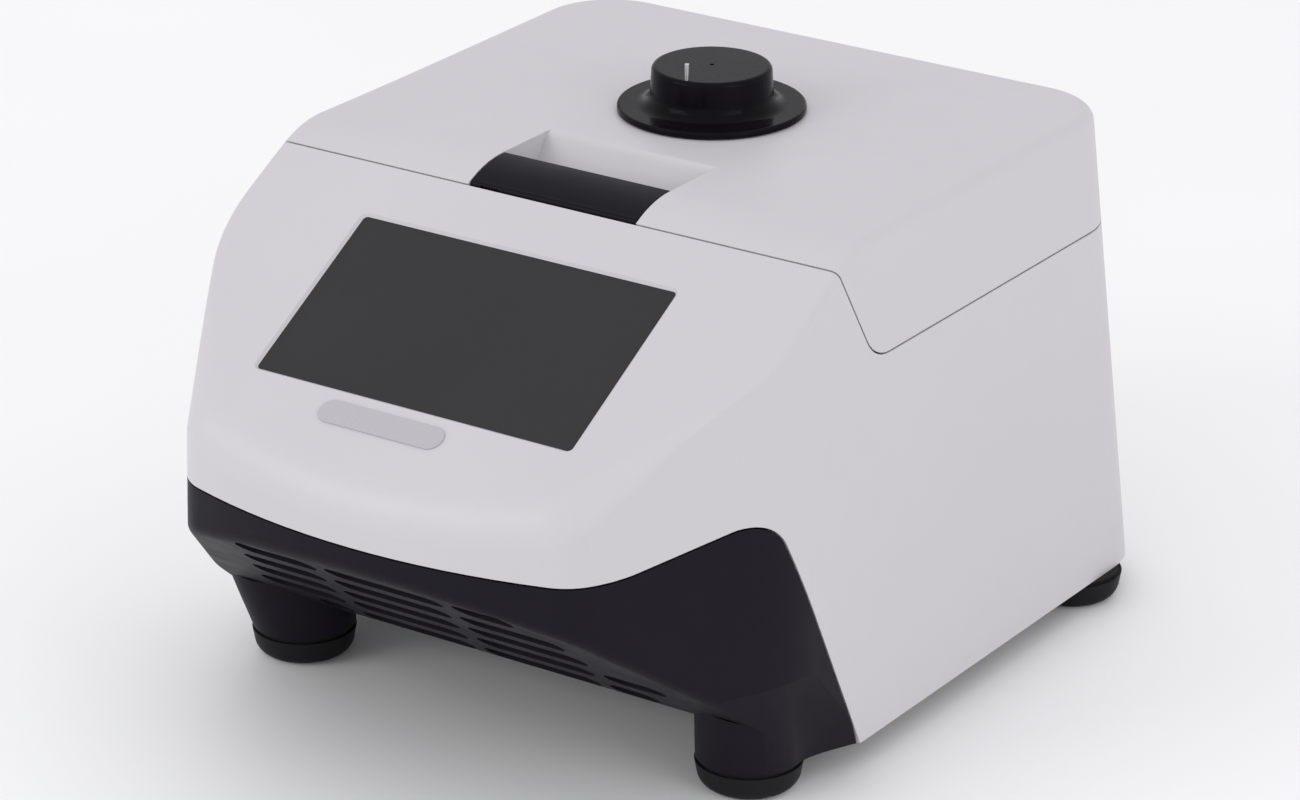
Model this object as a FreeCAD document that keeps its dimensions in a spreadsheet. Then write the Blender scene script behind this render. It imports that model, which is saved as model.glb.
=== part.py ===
import FreeCAD, Part
import math
import os
import re
import Sketcher
from FreeCAD import Placement, Rotation, Vector

# A bench-top gradient thermal cycler, in millimetres. +X is the user's right, +Y is the back,
# +Z is up, and the origin lies on the table below the middle of the instrument.

doc = FreeCAD.newDocument("thermal_cycler")
sheet = doc.addObject("Spreadsheet::Sheet", "Sheet")

DIMENSIONS = {
    # outer form
    "foot_tall": 13,
    "base_half_wide": 146.1,
    "side_draft": 2.47,
    "back_reach": 195.4,
    "back_lean": 7.15,
    "rear_round": 34,
    "lid_top": 224.8,
    "panel_tilt": 29.7,
    "panel_top_y": -57.2,
    "panel_top_z": 218.2,
    "lid_front_round": 49,
    "front_reach": 195.1,
    "front_bow": 298,
    "front_lean": 2,
    "cheek_turn": 30,
    "cheek_reach": 172.2,
    "cheek_round": 70,
    "nose_round": 24,
    "cheek_start_y": -115,
    "cheek_end_y": -165,
    "edge_lid": 6,
    "edge_seam": 3.5,
    "edge_cheek": 12,
    "edge_chin": 21,
    "wall": 3,
    # black front base
    "belly_rise": 37.4,
    "belly_end_y": -92,
    "floor_level": 28,
    "belly_end_round": 30,
    "belly_round": 7,
    "base_line_front": 117,
    "base_line_low_y": -49.4,
    "base_rise_y": -161.6,
    "base_rise_round": 60,
    "base_peak_y": -103.3,
    "base_peak_z": 132,
    "base_peak_round": 20,
    "leg_radius": 22,
    "leg_core_radius": 20,
    "leg_x": 113.4,
    "leg_y": -81.4,
    "leg_tall": 27,
    "leg_turn_back": 5,
    "leg_turn_front": -35,
    "leg_flare": 6.4,
    "leg_flare_turn": 10,
    "skirt_top": 58,
    "skirt_start_y": -46,
    "vent_wide": 56,
    "vent_tall": 14,
    "vent_pitch": 24,
    "vent_rib": 6.5,
    "vent_rows": 5,
    "vent_start": 16,
    "vent_shift": 10,
    "vent_margin": 20,
    # seams and fits
    "seam_gap": 0.8,
    "fit": 0.3,
    "seam_level": 173.5,
    "seam_round": 18.5,
    "cover_gap": 0.8,
    "cover_wall": 2.5,
    # rubber feet
    "foot_radius": 22.3,
    "foot_taper": 2,
    "foot_groove": 1.5,
    "foot_round": 7,
    "foot_sole": 3,
    "rear_foot_side": 17.2,
    "rear_foot_back": 43.1,
    "spacer_radius": 13,
    "screw_radius": 2,
    "screw_head_radius": 3.8,
    "screw_head_tall": 2.2,
    "screw_long": 12,
    # base plate and lugs of the casing
    "plate_thick": 1.5,
    "plate_front_y": -75,
    "lug_long": 16,
    "lug_tall": 10,
    "lug_wide": 16,
    "lug_front_y": 4,
    "lug_back_y": 120,
    # screen
    "window_wide": 154,
    "window_tall": 85.1,
    "window_down": 26.7,
    "window_round": 2,
    "glass_sunk": 1.2,
    "glass_thick": 1.5,
    "glass_rim": 3,
    "module_thick": 6,
    "bracket_rim": 8,
    "bracket_thick": 1.5,
    "boss_radius": 4,
    "badge_wide": 60,
    "badge_tall": 11.4,
    "badge_thick": 0.6,
    "badge_x": -6.6,
    "badge_down": 123.3,
    # sample block and what drives its heat
    "block_y": 60.7,
    "well_pitch": 9,
    "well_columns": 12,
    "well_rows": 8,
    "well_radius": 3.2,
    "well_end_radius": 1.5,
    "well_deep": 15,
    "block_rim": 4,
    "block_top": 171,
    "sink_top": 146,
    "module_side": 40,
    "peltier_thick": 3.6,
    "surround_wall": 8,
    "deck_lip": 4,
    "sink_wide": 144,
    "sink_deep": 130,
    "sink_base": 8,
    "fin_tall": 40,
    "fin_thick": 1.6,
    "fin_pitch": 5.2,
    "fin_count": 24,
    "frame_thick": 2,
    "frame_flange": 10,
    "fan_side": 60,
    "fan_deep": 25,
    "fan_bore": 28,
    "fan_hub": 15,
    "fan_blade_gap": 1,
    "fan_struts": 4,
    "fan_blades": 7,
    "fan_blade_thick": 1.6,
    "fan_blade_turn": 38,
    "fan_x": 32,
    "duct_deep": 8,
    "duct_wall": 3,
    # electronics
    "supply_deep": 160,
    "supply_tall": 44,
    "supply_back": 55.4,
    "board_deep": 170,
    "board_thick": 1.6,
    "board_back": 55.4,
    "standoff_tall": 8,
    "standoff_radius": 3,
    # rear panel and its fittings
    "rear_level": 76,
    "rear_side": 12.1,
    "rear_tall": 62,
    "rear_rim": 8,
    "rear_thick": 1.5,
    "inlet_side": 28,
    "inlet_wide": 27,
    "inlet_tall": 20,
    "inlet_deep": 24,
    "inlet_wall": 2,
    "inlet_rim": 3,
    "pin_long": 10,
    "fuse_pitch": 34,
    "fuse_wide": 24,
    "fuse_tall": 14,
    "switch_pitch": 30,
    "rocker_wide": 18,
    "rocker_tall": 24,
    "rocker_deep": 10,
    "rocker_angle": 10,
    "port_side": 40,
    "port_wide": 14,
    "port_tall": 12,
    "port_wall": 1.5,
    "slot_wide": 44,
    "slot_tall": 3,
    "slot_pitch": 7,
    "slot_low_z": 120,
    "slot_rows": 5,
    # lid hinges
    "hinge_x": 70,
    "hinge_long": 44,
    "hinge_out": 1,
    "knuckle_radius": 4,
    "hinge_pin_radius": 1.5,
    "shaft_gap": 0.05,
    "leaf_tall": 18,
    "leaf_thick": 2,
    # latch
    "handle_half_wide": 41,
    "handle_thick": 3,
    "handle_nose": 2.2,
    "handle_sweep": 31,
    "latch_pin_radius": 1,
    "spring_x": -36,
    "spring_long": 7,
    "spring_gap": 1,
    "spring_turns": 5,
    "spring_wire": 0.25,
    "spring_leg": 3.5,
    "recess_gap": 0.5,
    "recess_floor": 203,
    "recess_front_y": -30,
    "recess_floor_back_y": -17,
    "recess_back_y": 0,
    "recess_round": 6,
    "hook_wide": 18,
    "hook_thick": 3,
    "hook_long": 20,
    "hook_nose": 5,
    "hook_nose_tall": 4,
    "striker_wide": 34,
    "striker_thick": 2.5,
    "striker_tall": 10,
    # knob and spindle
    "knob_rim_radius": 40,
    "knob_rim_thick": 2.5,
    "knob_foot_radius": 26.6,
    "knob_top_radius": 25.4,
    "knob_top": 244.6,
    "knob_gap": 0.6,
    "knob_fillet": 6,
    "knob_edge": 2,
    "knob_pin_radius": 1,
    "knob_pin_long": 7,
    "knob_pin_x": 2.5,
    "knob_pin_back": -22.6,
    "spindle_radius": 5,
    "spindle_low": 192.5,
    "bush_wall": 4,
    "bush_flange": 4,
    "bush_flange_thick": 3,
    # heated plate
    "plate_wide": 120,
    "plate_deep": 84,
    "plate_low": 184,
    "hot_thick": 6,
    "mat_thick": 1,
    "insulation_thick": 4,
    "carrier_thick": 3,
    "carrier_wide": 140,
    "nut_tall": 8,
    "nut_radius": 9,
    "post_x": 64.5,
    "post_y": 30,
    "post_radius": 2.5,
    "post_low": 185,
    "tray_clear": 2.5,
    "tray_screw_x": 116,
}

# values that follow from the dimensions above
FOLLOWING = {
    "rear_wide": "2 * (base_half_wide - rear_round - rear_side)",
    "rear_foot_x": "base_half_wide - rear_foot_side",
    "rear_foot_y": "back_reach - rear_foot_back",
    "base_top": "floor_level + wall + plate_thick",
    "frame_x": "fin_count * fin_pitch / 2 + fit * 4 + frame_thick / 2",
    "side_room_low": "frame_x + frame_thick / 2 + frame_flange - fit",
    "side_room_high": "base_half_wide - (base_top - foot_tall) * tan(side_draft) - wall - lug_wide",
    "side_room": "side_room_high - side_room_low - 2 * fit",
    "side_room_x": "(side_room_high + side_room_low) / 2",
    "inlet_x": "rear_wide / 2 - inlet_side",
    "fuse_x": "inlet_x - fuse_pitch",
    "switch_x": "fuse_x - switch_pitch",
    "port_x": "port_side - rear_wide / 2",
}

cells = {word: str(value) for word, value in DIMENSIONS.items()}
cells.update({word: "=" + formula for word, formula in FOLLOWING.items()})
for row, (word, value) in enumerate(cells.items(), start=1):
    sheet.set(f"A{row}", word)
    sheet.setAlias(f"B{row}", word)
for row, value in enumerate(cells.values(), start=1):
    sheet.set(f"B{row}", value)
doc.recompute()


def dim(word):
    """The value of one driving dimension."""
    return float(sheet.get(word))


def bound(text):
    """An expression in which each dimension's word stands for its cell."""
    return re.sub(r"[a-z_]+", lambda m: "Sheet." + m[0] if m[0] in cells else m[0], text)


nodes = []


def piece(item, label):
    """Marks a finished sub-part and gives it the name of its file."""
    item.Label = label
    nodes.append(item)
    return item


def shaped(label, shape):
    """A sub-part whose form is worked out from the common outer form."""
    item = doc.addObject("Part::Feature", label)
    item.Shape = shape
    return piece(item, label)


def primitive(kind, name, sizes, at):
    item = doc.addObject("Part::" + kind, name)
    for word, text in sizes.items():
        item.setExpression(word, bound(text))
    for axis, text in zip("xyz", at):
        item.setExpression("Placement.Base." + axis, bound(text))
    return item


def block(name, size, at):
    """A box centred on its place in x and y, standing on its z."""
    wide, deep, tall = size
    x, y, z = at
    low = (f"({x}) - ({wide}) / 2", f"({y}) - ({deep}) / 2", z)
    return primitive("Box", name, {"Length": wide, "Width": deep, "Height": tall}, low)


def rod(name, radius, tall, at, way="z"):
    """A cylinder that starts at its place and runs along z, or along -y for way y, or x."""
    item = primitive("Cylinder", name, {"Radius": radius, "Height": tall}, at)
    turns = {"z": (Vector(0, 0, 1), 0), "y": (Vector(1, 0, 0), 90), "x": (Vector(0, 1, 0), 90)}
    item.Placement.Rotation = Rotation(*turns[way])
    return item


def join(name, parts):
    item = doc.addObject("Part::MultiFuse", name)
    item.Shapes = parts
    return item


def group(name, parts):
    """Separate solids that are kept as one sub-part."""
    item = doc.addObject("Part::Compound", name)
    item.Links = parts
    return item


def cut(name, base, tools):
    item = doc.addObject("Part::Cut", name)
    item.Base = base
    item.Tool = tools[0] if len(tools) == 1 else join(name + "_tools", tools)
    return item


def leaned(item, origin, angle):
    """Turns a sub-part about x by an angle and moves it to its place on a leaning wall."""
    item.Placement = Placement(Vector(0, 0, 0), Rotation(Vector(1, 0, 0), 1))
    for axis, text in zip("xyz", origin):
        item.setExpression("Placement.Base." + axis, bound(text))
    item.setExpression("Placement.Rotation.Angle", bound(angle))
    return item


PANEL = ("0", "panel_top_y", "panel_top_z")
REAR = ("0", "back_reach - (rear_level - foot_tall) * tan(back_lean)", "rear_level")
FAR = 300


# outlines and the common outer form
def outline(corners, grow=0):
    """A closed face of straight runs, each corner (u, v, radius) rounded, grown evenly."""
    count = len(corners)
    runs = []
    for k, (u, v, radius) in enumerate(corners):
        here = Vector(u, v, 0)
        last = Vector(corners[k - 1][0], corners[k - 1][1], 0) - here
        following = Vector(corners[(k + 1) % count][0], corners[(k + 1) % count][1], 0) - here
        if radius == 0:
            runs.append((here, None, here))
            continue
        last.normalize()
        following.normalize()
        half = last.getAngle(following) / 2
        middle = last + following
        middle.normalize()
        centre = here + middle * (radius / math.sin(half))
        reach = radius / math.tan(half)
        runs.append((here + last * reach, centre - middle * radius, here + following * reach))
    edges = []
    for k, (start, middle, end) in enumerate(runs):
        if middle:
            edges.append(Part.Arc(start, middle, end).toShape())
        onward = runs[(k + 1) % count][0]
        if (onward - end).Length > 1e-6:
            edges.append(Part.makeLine(end, onward))
    wire = Part.Wire(edges)
    if grow:
        wire = wire.makeOffset2D(grow, join=2)
    return Part.Face(wire)


def rounded_box(x, y, radius):
    """A face between two pairs of limits, its four corners rounded."""
    return outline([(x[0], y[0], radius), (x[1], y[0], radius), (x[1], y[1], radius), (x[0], y[1], radius)])


def across(face, low=-FAR, high=FAR):
    """A side outline (y, z) drawn out along x."""
    face = face.copy()
    face.Placement = Placement(Vector(low, 0, 0), Rotation(Vector(1, 1, 1), 120))
    return face.extrude(Vector(high - low, 0, 0))


def upward(face, low=-FAR, high=FAR):
    """A plan outline (x, y) drawn out along z."""
    face = face.copy()
    face.Placement = Placement(Vector(0, 0, low), Rotation())
    return face.extrude(Vector(0, 0, high - low))


def box(x, y, z):
    """A box from three pairs of limits."""
    return Part.makeBox(x[1] - x[0], y[1] - y[0], z[1] - z[0], Vector(x[0], y[0], z[0]))


def back_y(height):
    """Where the leaning back wall stands at a height."""
    return dim("back_reach") - (height - dim("foot_tall")) * math.tan(math.radians(dim("back_lean")))


def steep_edges(form):
    """The long upright edges, which are not flat in any plane of constant height."""
    return [e for e in form.Edges if e.BoundBox.ZLength > FAR / 2]


def plan_form(inset):
    """The drafted sides, slanted cheeks, bowed front and leaning back, all corners rounded."""
    lean = math.tan(math.radians(dim("side_draft")))
    foot = dim("foot_tall")
    low_x = dim("base_half_wide") + foot * lean
    high_x = low_x - FAR * lean
    front_on = outline([(-low_x, 0, 0), (low_x, 0, 0), (high_x, FAR, 0), (-high_x, FAR, 0)], -inset)
    front_on.Placement = Placement(Vector(0, FAR, 0), Rotation(Vector(1, 0, 0), 90))
    form = front_on.extrude(Vector(0, -2 * FAR, 0))
    side_on = [(-FAR, 0, 0), (back_y(0), 0, 0), (back_y(FAR), FAR, 0), (-FAR, FAR, 0)]
    form = form.common(across(outline(side_on, -inset)))
    turn = dim("cheek_turn")
    level = dim("base_line_front")
    for side in (-1, 1):
        cheek_x = dim("cheek_reach") - inset
        cutter = Part.makeBox(FAR, 4 * FAR, 3 * FAR, Vector(cheek_x, -2 * FAR, -FAR))
        cutter.rotate(Vector(cheek_x, 0, level), Vector(0, 1, 0), -dim("side_draft"))
        if side < 0:
            cutter = cutter.mirror(Vector(0, 0, 0), Vector(1, 0, 0))
        cutter.rotate(Vector(0, 0, 0), Vector(0, 0, 1), -side * turn)
        form = form.cut(cutter)
    bow_y = dim("front_bow") - dim("front_reach")
    lean = math.tan(math.radians(dim("front_lean")))
    bow = dim("front_bow") - inset
    low_bow, high_bow = bow - level * lean, bow + (FAR - level) * lean
    form = form.common(Part.makeCone(low_bow, high_bow, FAR, Vector(0, bow_y, 0)))

    def corners_near(test):
        return [e for e in steep_edges(form) if test(e.CenterOfMass.y)]

    between = (dim("cheek_start_y") + dim("cheek_end_y")) / 2
    form = form.makeFillet(dim("rear_round") - inset, corners_near(lambda y: y > 0))
    form = form.makeFillet(dim("cheek_round") - inset, corners_near(lambda y: between < y < 0))
    return form.makeFillet(dim("nose_round") - inset, corners_near(lambda y: y < between))


def side_profile(floor):
    """Lid top, rounded lid front, sloping panel, belly slope and floor, open to the back."""
    top = dim("lid_top")
    panel_y, panel_z = dim("panel_top_y"), dim("panel_top_z")
    tilt = math.tan(math.radians(dim("panel_tilt")))
    rise = math.tan(math.radians(dim("belly_rise")))
    level, end_y = dim("floor_level"), dim("belly_end_y")
    nose_y = (level + end_y * rise - panel_z + panel_y * tilt) / (tilt + rise)
    return [
        (FAR, top, 0),
        (panel_y + (top - panel_z) / tilt, top, dim("lid_front_round")),
        (nose_y, panel_z + (nose_y - panel_y) * tilt, 0),
        (end_y - (floor - level) / rise, floor, dim("belly_end_round")),
        (FAR, floor, 0),
    ]


def looks(face):
    """The outward direction at the middle of a face."""
    u0, u1, v0, v1 = face.ParameterRange
    return face.normalAt((u0 + u1) / 2, (v0 + v1) / 2)


def rim_edges(form, chosen):
    """Numbers of the edges round a smooth run of faces, leaving out those between them."""
    faces = [f for f in form.Faces if chosen(looks(f))]
    numbers = []
    for number, edge in enumerate(form.Edges, start=1):
        owners = [f for f in faces if any(edge.isSame(e) for e in f.Edges)]
        if len(owners) == 1:
            numbers.append(number)
    return numbers


def chained(form, numbers):
    """The edges of a loop in order, each with its two end points, along the first one's way."""
    left = list(numbers)
    first = max(left, key=lambda n: form.Edges[n - 1].CenterOfMass.y)
    left.remove(first)
    edge = form.Edges[first - 1]
    chain = [(first, edge.valueAt(edge.FirstParameter), edge.valueAt(edge.LastParameter))]
    while left:
        here = chain[-1][2]
        for number in left:
            edge = form.Edges[number - 1]
            ends = [edge.valueAt(edge.FirstParameter), edge.valueAt(edge.LastParameter)]
            if (ends[1] - here).Length < (ends[0] - here).Length:
                ends.reverse()
            if (ends[0] - here).Length < 0.01:
                chain.append((number, ends[0], ends[1]))
                left.remove(number)
                break
        else:
            raise ValueError("the crease is not one loop")
    return chain


def crease_radius(y, inset):
    """The crease is fine at the lid seam and grows along the cheeks to the soft chin."""
    knots = [
        (-FAR, dim("edge_chin")),
        (dim("cheek_end_y") - dim("nose_round") / 2, dim("edge_chin")),
        (dim("cheek_end_y"), dim("edge_cheek")),
        (dim("cheek_start_y"), dim("edge_seam")),
        (dim("panel_top_y"), dim("edge_seam")),
        (0, dim("edge_lid")),
        (FAR, dim("edge_lid")),
    ]
    for (y0, r0), (y1, r1) in zip(knots, knots[1:]):
        if y <= y1:
            radius = r0 + (r1 - r0) * (y - y0) / (y1 - y0)
            break
    return max(radius - inset, 1)


def hull(inset, floor):
    """The whole outer form, or the same form set in by a wall."""
    form = plan_form(inset).common(across(outline(side_profile(floor), -inset)))
    sharp = doc.addObject("Part::Feature", "sharp_form")
    sharp.Shape = form
    soft = doc.addObject("Part::Fillet", "soft_form")
    soft.Base = sharp
    loop = chained(form, rim_edges(form, lambda n: abs(n.x) < 1e-6 and n.z > 0.3))
    soft.Edges = [(n, crease_radius(a.y, inset), crease_radius(b.y, inset)) for n, a, b in loop]
    doc.recompute()
    return soft.Shape.copy()


def seam_region():
    """Side outline of all above the lid seam: square to the panel in front, level behind."""
    lean = math.tan(math.radians(dim("panel_tilt")))
    y, z, level = dim("panel_top_y"), dim("panel_top_z"), dim("seam_level")
    return [
        (y - (FAR - z) * lean, FAR, 0),
        (y + (z - level) * lean, level, dim("seam_round")),
        (FAR, level, 0),
        (FAR, FAR, 0),
    ]


def base_region():
    """Side outline of the black base: level in front, a straight rise to a peak, a straight fall."""
    peak_y, peak_z = dim("base_peak_y"), dim("base_peak_z")
    slope = (dim("base_line_low_y") - peak_y) / (peak_z - dim("foot_tall"))
    return [
        (-FAR, dim("base_line_front"), 0),
        (dim("base_rise_y"), dim("base_line_front"), dim("base_rise_round")),
        (peak_y, peak_z, dim("base_peak_round")),
        (peak_y + slope * (peak_z + FAR), -FAR, 0),
        (-FAR, -FAR, 0),
    ]


def recess_region():
    """Side outline of the finger recess in the lid, from the seam to the sloped back wall."""
    floor = dim("recess_floor")
    top = dim("lid_top")
    shelf = dim("panel_top_z") - 2 * dim("handle_nose") - dim("recess_gap")
    return [
        (-FAR, shelf, 0),
        (dim("recess_front_y"), shelf, 2),
        (dim("recess_front_y"), floor, dim("recess_round") / 2),
        (dim("recess_floor_back_y"), floor, dim("recess_round")),
        (dim("recess_back_y"), top + dim("shaft_gap"), dim("recess_round")),
        (dim("block_y"), top + dim("shaft_gap"), 0),
        (dim("block_y"), FAR, 0),
        (-FAR, FAR, 0),
    ]


def on_panel(shape):
    """Moves a form from the panel's own axes (y up the slope, z out of it) to its place."""
    shape = shape.copy()
    place = Placement(Vector(0, dim("panel_top_y"), dim("panel_top_z")),
                      Rotation(Vector(1, 0, 0), dim("panel_tilt")))
    shape.Placement = place.multiply(shape.Placement)
    return shape


def on_back(shape, height):
    """Moves a form from the back wall's axes (y out of the wall, z up it) to its place."""
    shape = shape.copy()
    place = Placement(Vector(0, back_y(height), height), Rotation(Vector(1, 0, 0), dim("back_lean")))
    shape.Placement = place.multiply(shape.Placement)
    return shape


wall, fit, gap = dim("wall"), dim("fit"), dim("seam_gap")
foot_tall, floor_level = dim("foot_tall"), dim("floor_level")
seam_level, lid_top, block_y = dim("seam_level"), dim("lid_top"), dim("block_y")
outer_form = hull(0, foot_tall)
inner_form = hull(wall, foot_tall - 2 * wall)
lining_form = hull(wall + fit, foot_tall - 2 * wall)
window_mid = -dim("window_down") - dim("window_tall") / 2
deck_top = seam_level - gap / 2 - dim("cover_gap")
deck_low = deck_top - dim("cover_wall")
deck_low_text = "seam_level - seam_gap / 2 - cover_gap - cover_wall"
tray_low = seam_level + gap / 2 + dim("cover_gap")
tray_top = tray_low + dim("cover_wall")
plate_low = floor_level + wall
plate_top = plate_low + dim("plate_thick")
both_sides = (-1, 1)


def hinge_notches(extra):
    """Room for the hinge barrels in the back walls."""
    half = dim("hinge_long") / 2 + extra
    reach = dim("knuckle_radius") + 2 * fit
    out = FAR / 10
    notch = [box((s * dim("hinge_x") - half, s * dim("hinge_x") + half),
                 (dim("hinge_out") - reach, out), (-reach, reach)) for s in both_sides]
    return on_back(notch[0].fuse(notch[1]), seam_level)


def lug_places():
    """Where the base plate and the deck are screwed to the casing, as (side, y)."""
    return [(s, y) for s in both_sides for y in (dim("lug_front_y"), dim("lug_back_y"))]


def lugs(low, tall, form):
    """Blocks on the inside of the side walls, each with a screw hole."""
    found = []
    inner = dim("base_half_wide") - (low - foot_tall) * math.tan(math.radians(dim("side_draft"))) - wall
    for side, y in lug_places():
        x = sorted((side * (inner - dim("lug_wide")), side * (inner + wall / 2)))
        lug = box(x, (y - dim("lug_long") / 2, y + dim("lug_long") / 2), (low, low + tall)).common(form)
        found.append(lug)
    return found, inner - dim("lug_wide") / 2


def screw(x, y, under_head, way, radius_gap=0):
    """A cap screw (or, with a gap, the hole for it): its head below the joint for way +1."""
    long = dim("screw_long")
    shank = Part.makeCylinder(dim("screw_radius") + radius_gap, long + radius_gap,
                              Vector(x, y, under_head), Vector(0, 0, way))
    head = Part.makeCylinder(dim("screw_head_radius") + 2 * radius_gap, dim("screw_head_tall") + radius_gap,
                             Vector(x, y, under_head), Vector(0, 0, -way))
    return shank.fuse(head)


hole_gap = dim("shaft_gap")


# main casing: one white moulding with the screen window, open below, in front low down and on top
def make_main_casing():
    shell = outer_form.cut(inner_form)
    shell = shell.cut(across(outline(seam_region(), gap / 2)))
    shell = shell.cut(across(outline(base_region(), gap / 2)))
    low_lugs, low_x = lugs(plate_top, dim("lug_tall"), outer_form)
    high_lugs, high_x = lugs(deck_low - dim("lug_tall") * 1.5, dim("lug_tall") * 1.5, outer_form)
    half_wide, half_tall = dim("window_wide") / 2, dim("window_tall") / 2
    rim, sunk = dim("glass_rim"), dim("glass_sunk")
    deep = sunk + dim("glass_thick") + dim("module_thick")
    bosses = []
    for x in both_sides:
        for y in both_sides:
            boss_x = x * (half_wide + rim + dim("bracket_rim") / 2 + 1)
            at = Vector(boss_x, window_mid + y * half_tall * 0.7, -deep)
            bosses.append(on_panel(Part.makeCylinder(dim("boss_radius"), deep - wall / 2, at)))
    shell = shell.fuse(low_lugs + high_lugs + bosses)
    corner = dim("window_round")
    opening = rounded_box((-half_wide, half_wide), (window_mid - half_tall, window_mid + half_tall), corner)
    window = on_panel(upward(opening, -4 * wall, wall))
    bevel = opening.Wires[0].makeOffset2D(1.2, join=0)
    bevel.translate(Vector(0, 0, 0.05))
    low_rim = opening.Wires[0].copy()
    low_rim.translate(Vector(0, 0, -sunk))
    flare = on_panel(Part.makeLoft([low_rim, bevel], True, True))
    seat = on_panel(box((-half_wide - rim - fit, half_wide + rim + fit),
                        (window_mid - half_tall - rim - fit, window_mid + half_tall + rim + fit),
                        (-4 * wall, -sunk)))
    rear = on_back(box((-dim("rear_wide") / 2, dim("rear_wide") / 2), (-4 * wall, wall),
                       (-dim("rear_tall") / 2, dim("rear_tall") / 2)), dim("rear_level"))
    tools = [window, flare, seat, rear, hinge_notches(2 * fit)]
    for row in range(int(dim("slot_rows"))):
        z = dim("slot_low_z") + row * dim("slot_pitch")
        for column in (-1, 0, 1):
            x = column * (dim("slot_wide") + dim("slot_pitch"))
            tools.append(box((x - dim("slot_wide") / 2, x + dim("slot_wide") / 2), (FAR / 3, FAR),
                             (z, z + dim("slot_tall"))))
    for side, y in lug_places():
        tools.append(screw(side * low_x, y, plate_low, 1, hole_gap))
        tools.append(screw(side * high_x, y, deck_top - dim("screw_head_tall"), -1, hole_gap))
    for number in both_sides:
        for level in both_sides:
            tools.append(rear_screw(number, level, hole_gap))
    return shell.cut(tools), low_x, high_x


def rear_screw(side, level, radius_gap=0):
    """A small screw through the rear panel's rim, its head on the casing."""
    rim = dim("rear_rim")
    x = side * (dim("rear_wide") / 2 + rim / 2)
    z = level * dim("rear_tall") / 4
    radius = dim("screw_radius") * 0.75 + radius_gap
    shank = Part.makeCylinder(radius, 2 * wall + dim("rear_thick"), Vector(x, 0, z), Vector(0, -1, 0))
    if radius_gap:
        return on_back(shank, dim("rear_level"))
    head = Part.makeCylinder(radius * 2, radius * 1.2, Vector(x, 0, z), Vector(0, 1, 0))
    return on_back(shank.fuse(head), dim("rear_level"))


main_casing, low_lug_x, high_lug_x = make_main_casing()
shaped("main_casing", main_casing)


# black front base: lip, cheeks and sloping belly with its vents, the wall turned in to two legs
def belly_form(inset):
    """The outer form of the base with its lower edge rounded all the way round."""
    form = plan_form(inset).common(across(outline(side_profile(floor_level), -inset)))
    numbers = rim_edges(form, lambda n: abs(n.x) < 1e-6 and n.z < -0.3)
    return form.makeFillet(dim("belly_round") - inset, [form.Edges[n - 1] for n in numbers])


def belly_half_wide(y):
    """Half the width of the belly at a depth, inside the slanted cheeks."""
    turn = math.radians(dim("cheek_turn"))
    return min(dim("base_half_wide"), (dim("cheek_reach") + y * math.sin(turn)) / math.cos(turn))


def vent_slots():
    """Rows of slots across the belly slope, each row shifted a little from the last."""
    rise = math.radians(dim("belly_rise"))
    wide, rib, tall = dim("vent_wide"), dim("vent_rib"), dim("vent_tall")
    slots = []
    for row in range(int(dim("vent_rows"))):
        along = dim("vent_start") + row * dim("vent_pitch")
        y = dim("belly_end_y") - along * math.cos(rise)
        limit = belly_half_wide(y) - dim("vent_margin") - tall / 2
        if y + tall > dim("leg_y") - dim("leg_radius"):
            limit = min(limit, dim("leg_x") - dim("leg_radius") - rib)
        place = Placement(Vector(0, y, floor_level + along * math.sin(rise)),
                          Rotation(Vector(1, 0, 0), -dim("belly_rise")))
        x = row * dim("vent_shift") - 5 * (wide + rib)
        while x < limit:
            low, high = max(x, -limit), min(x + wide, limit)
            if high - low > tall:
                slot = upward(rounded_box((low, high), (-tall / 2, tall / 2), tall * 0.45), -wall, 3 * wall)
                slot.Placement = place.multiply(slot.Placement)
                slots.append(slot)
            x += wide + rib
    return slots


def around_leg(degrees, inset=0):
    """A point on the leg's outline, by its direction from the leg's axis."""
    turn = math.radians(degrees)
    reach = dim("leg_radius") - inset
    return dim("leg_x") + reach * math.cos(turn), dim("leg_y") + reach * math.sin(turn)


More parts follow.
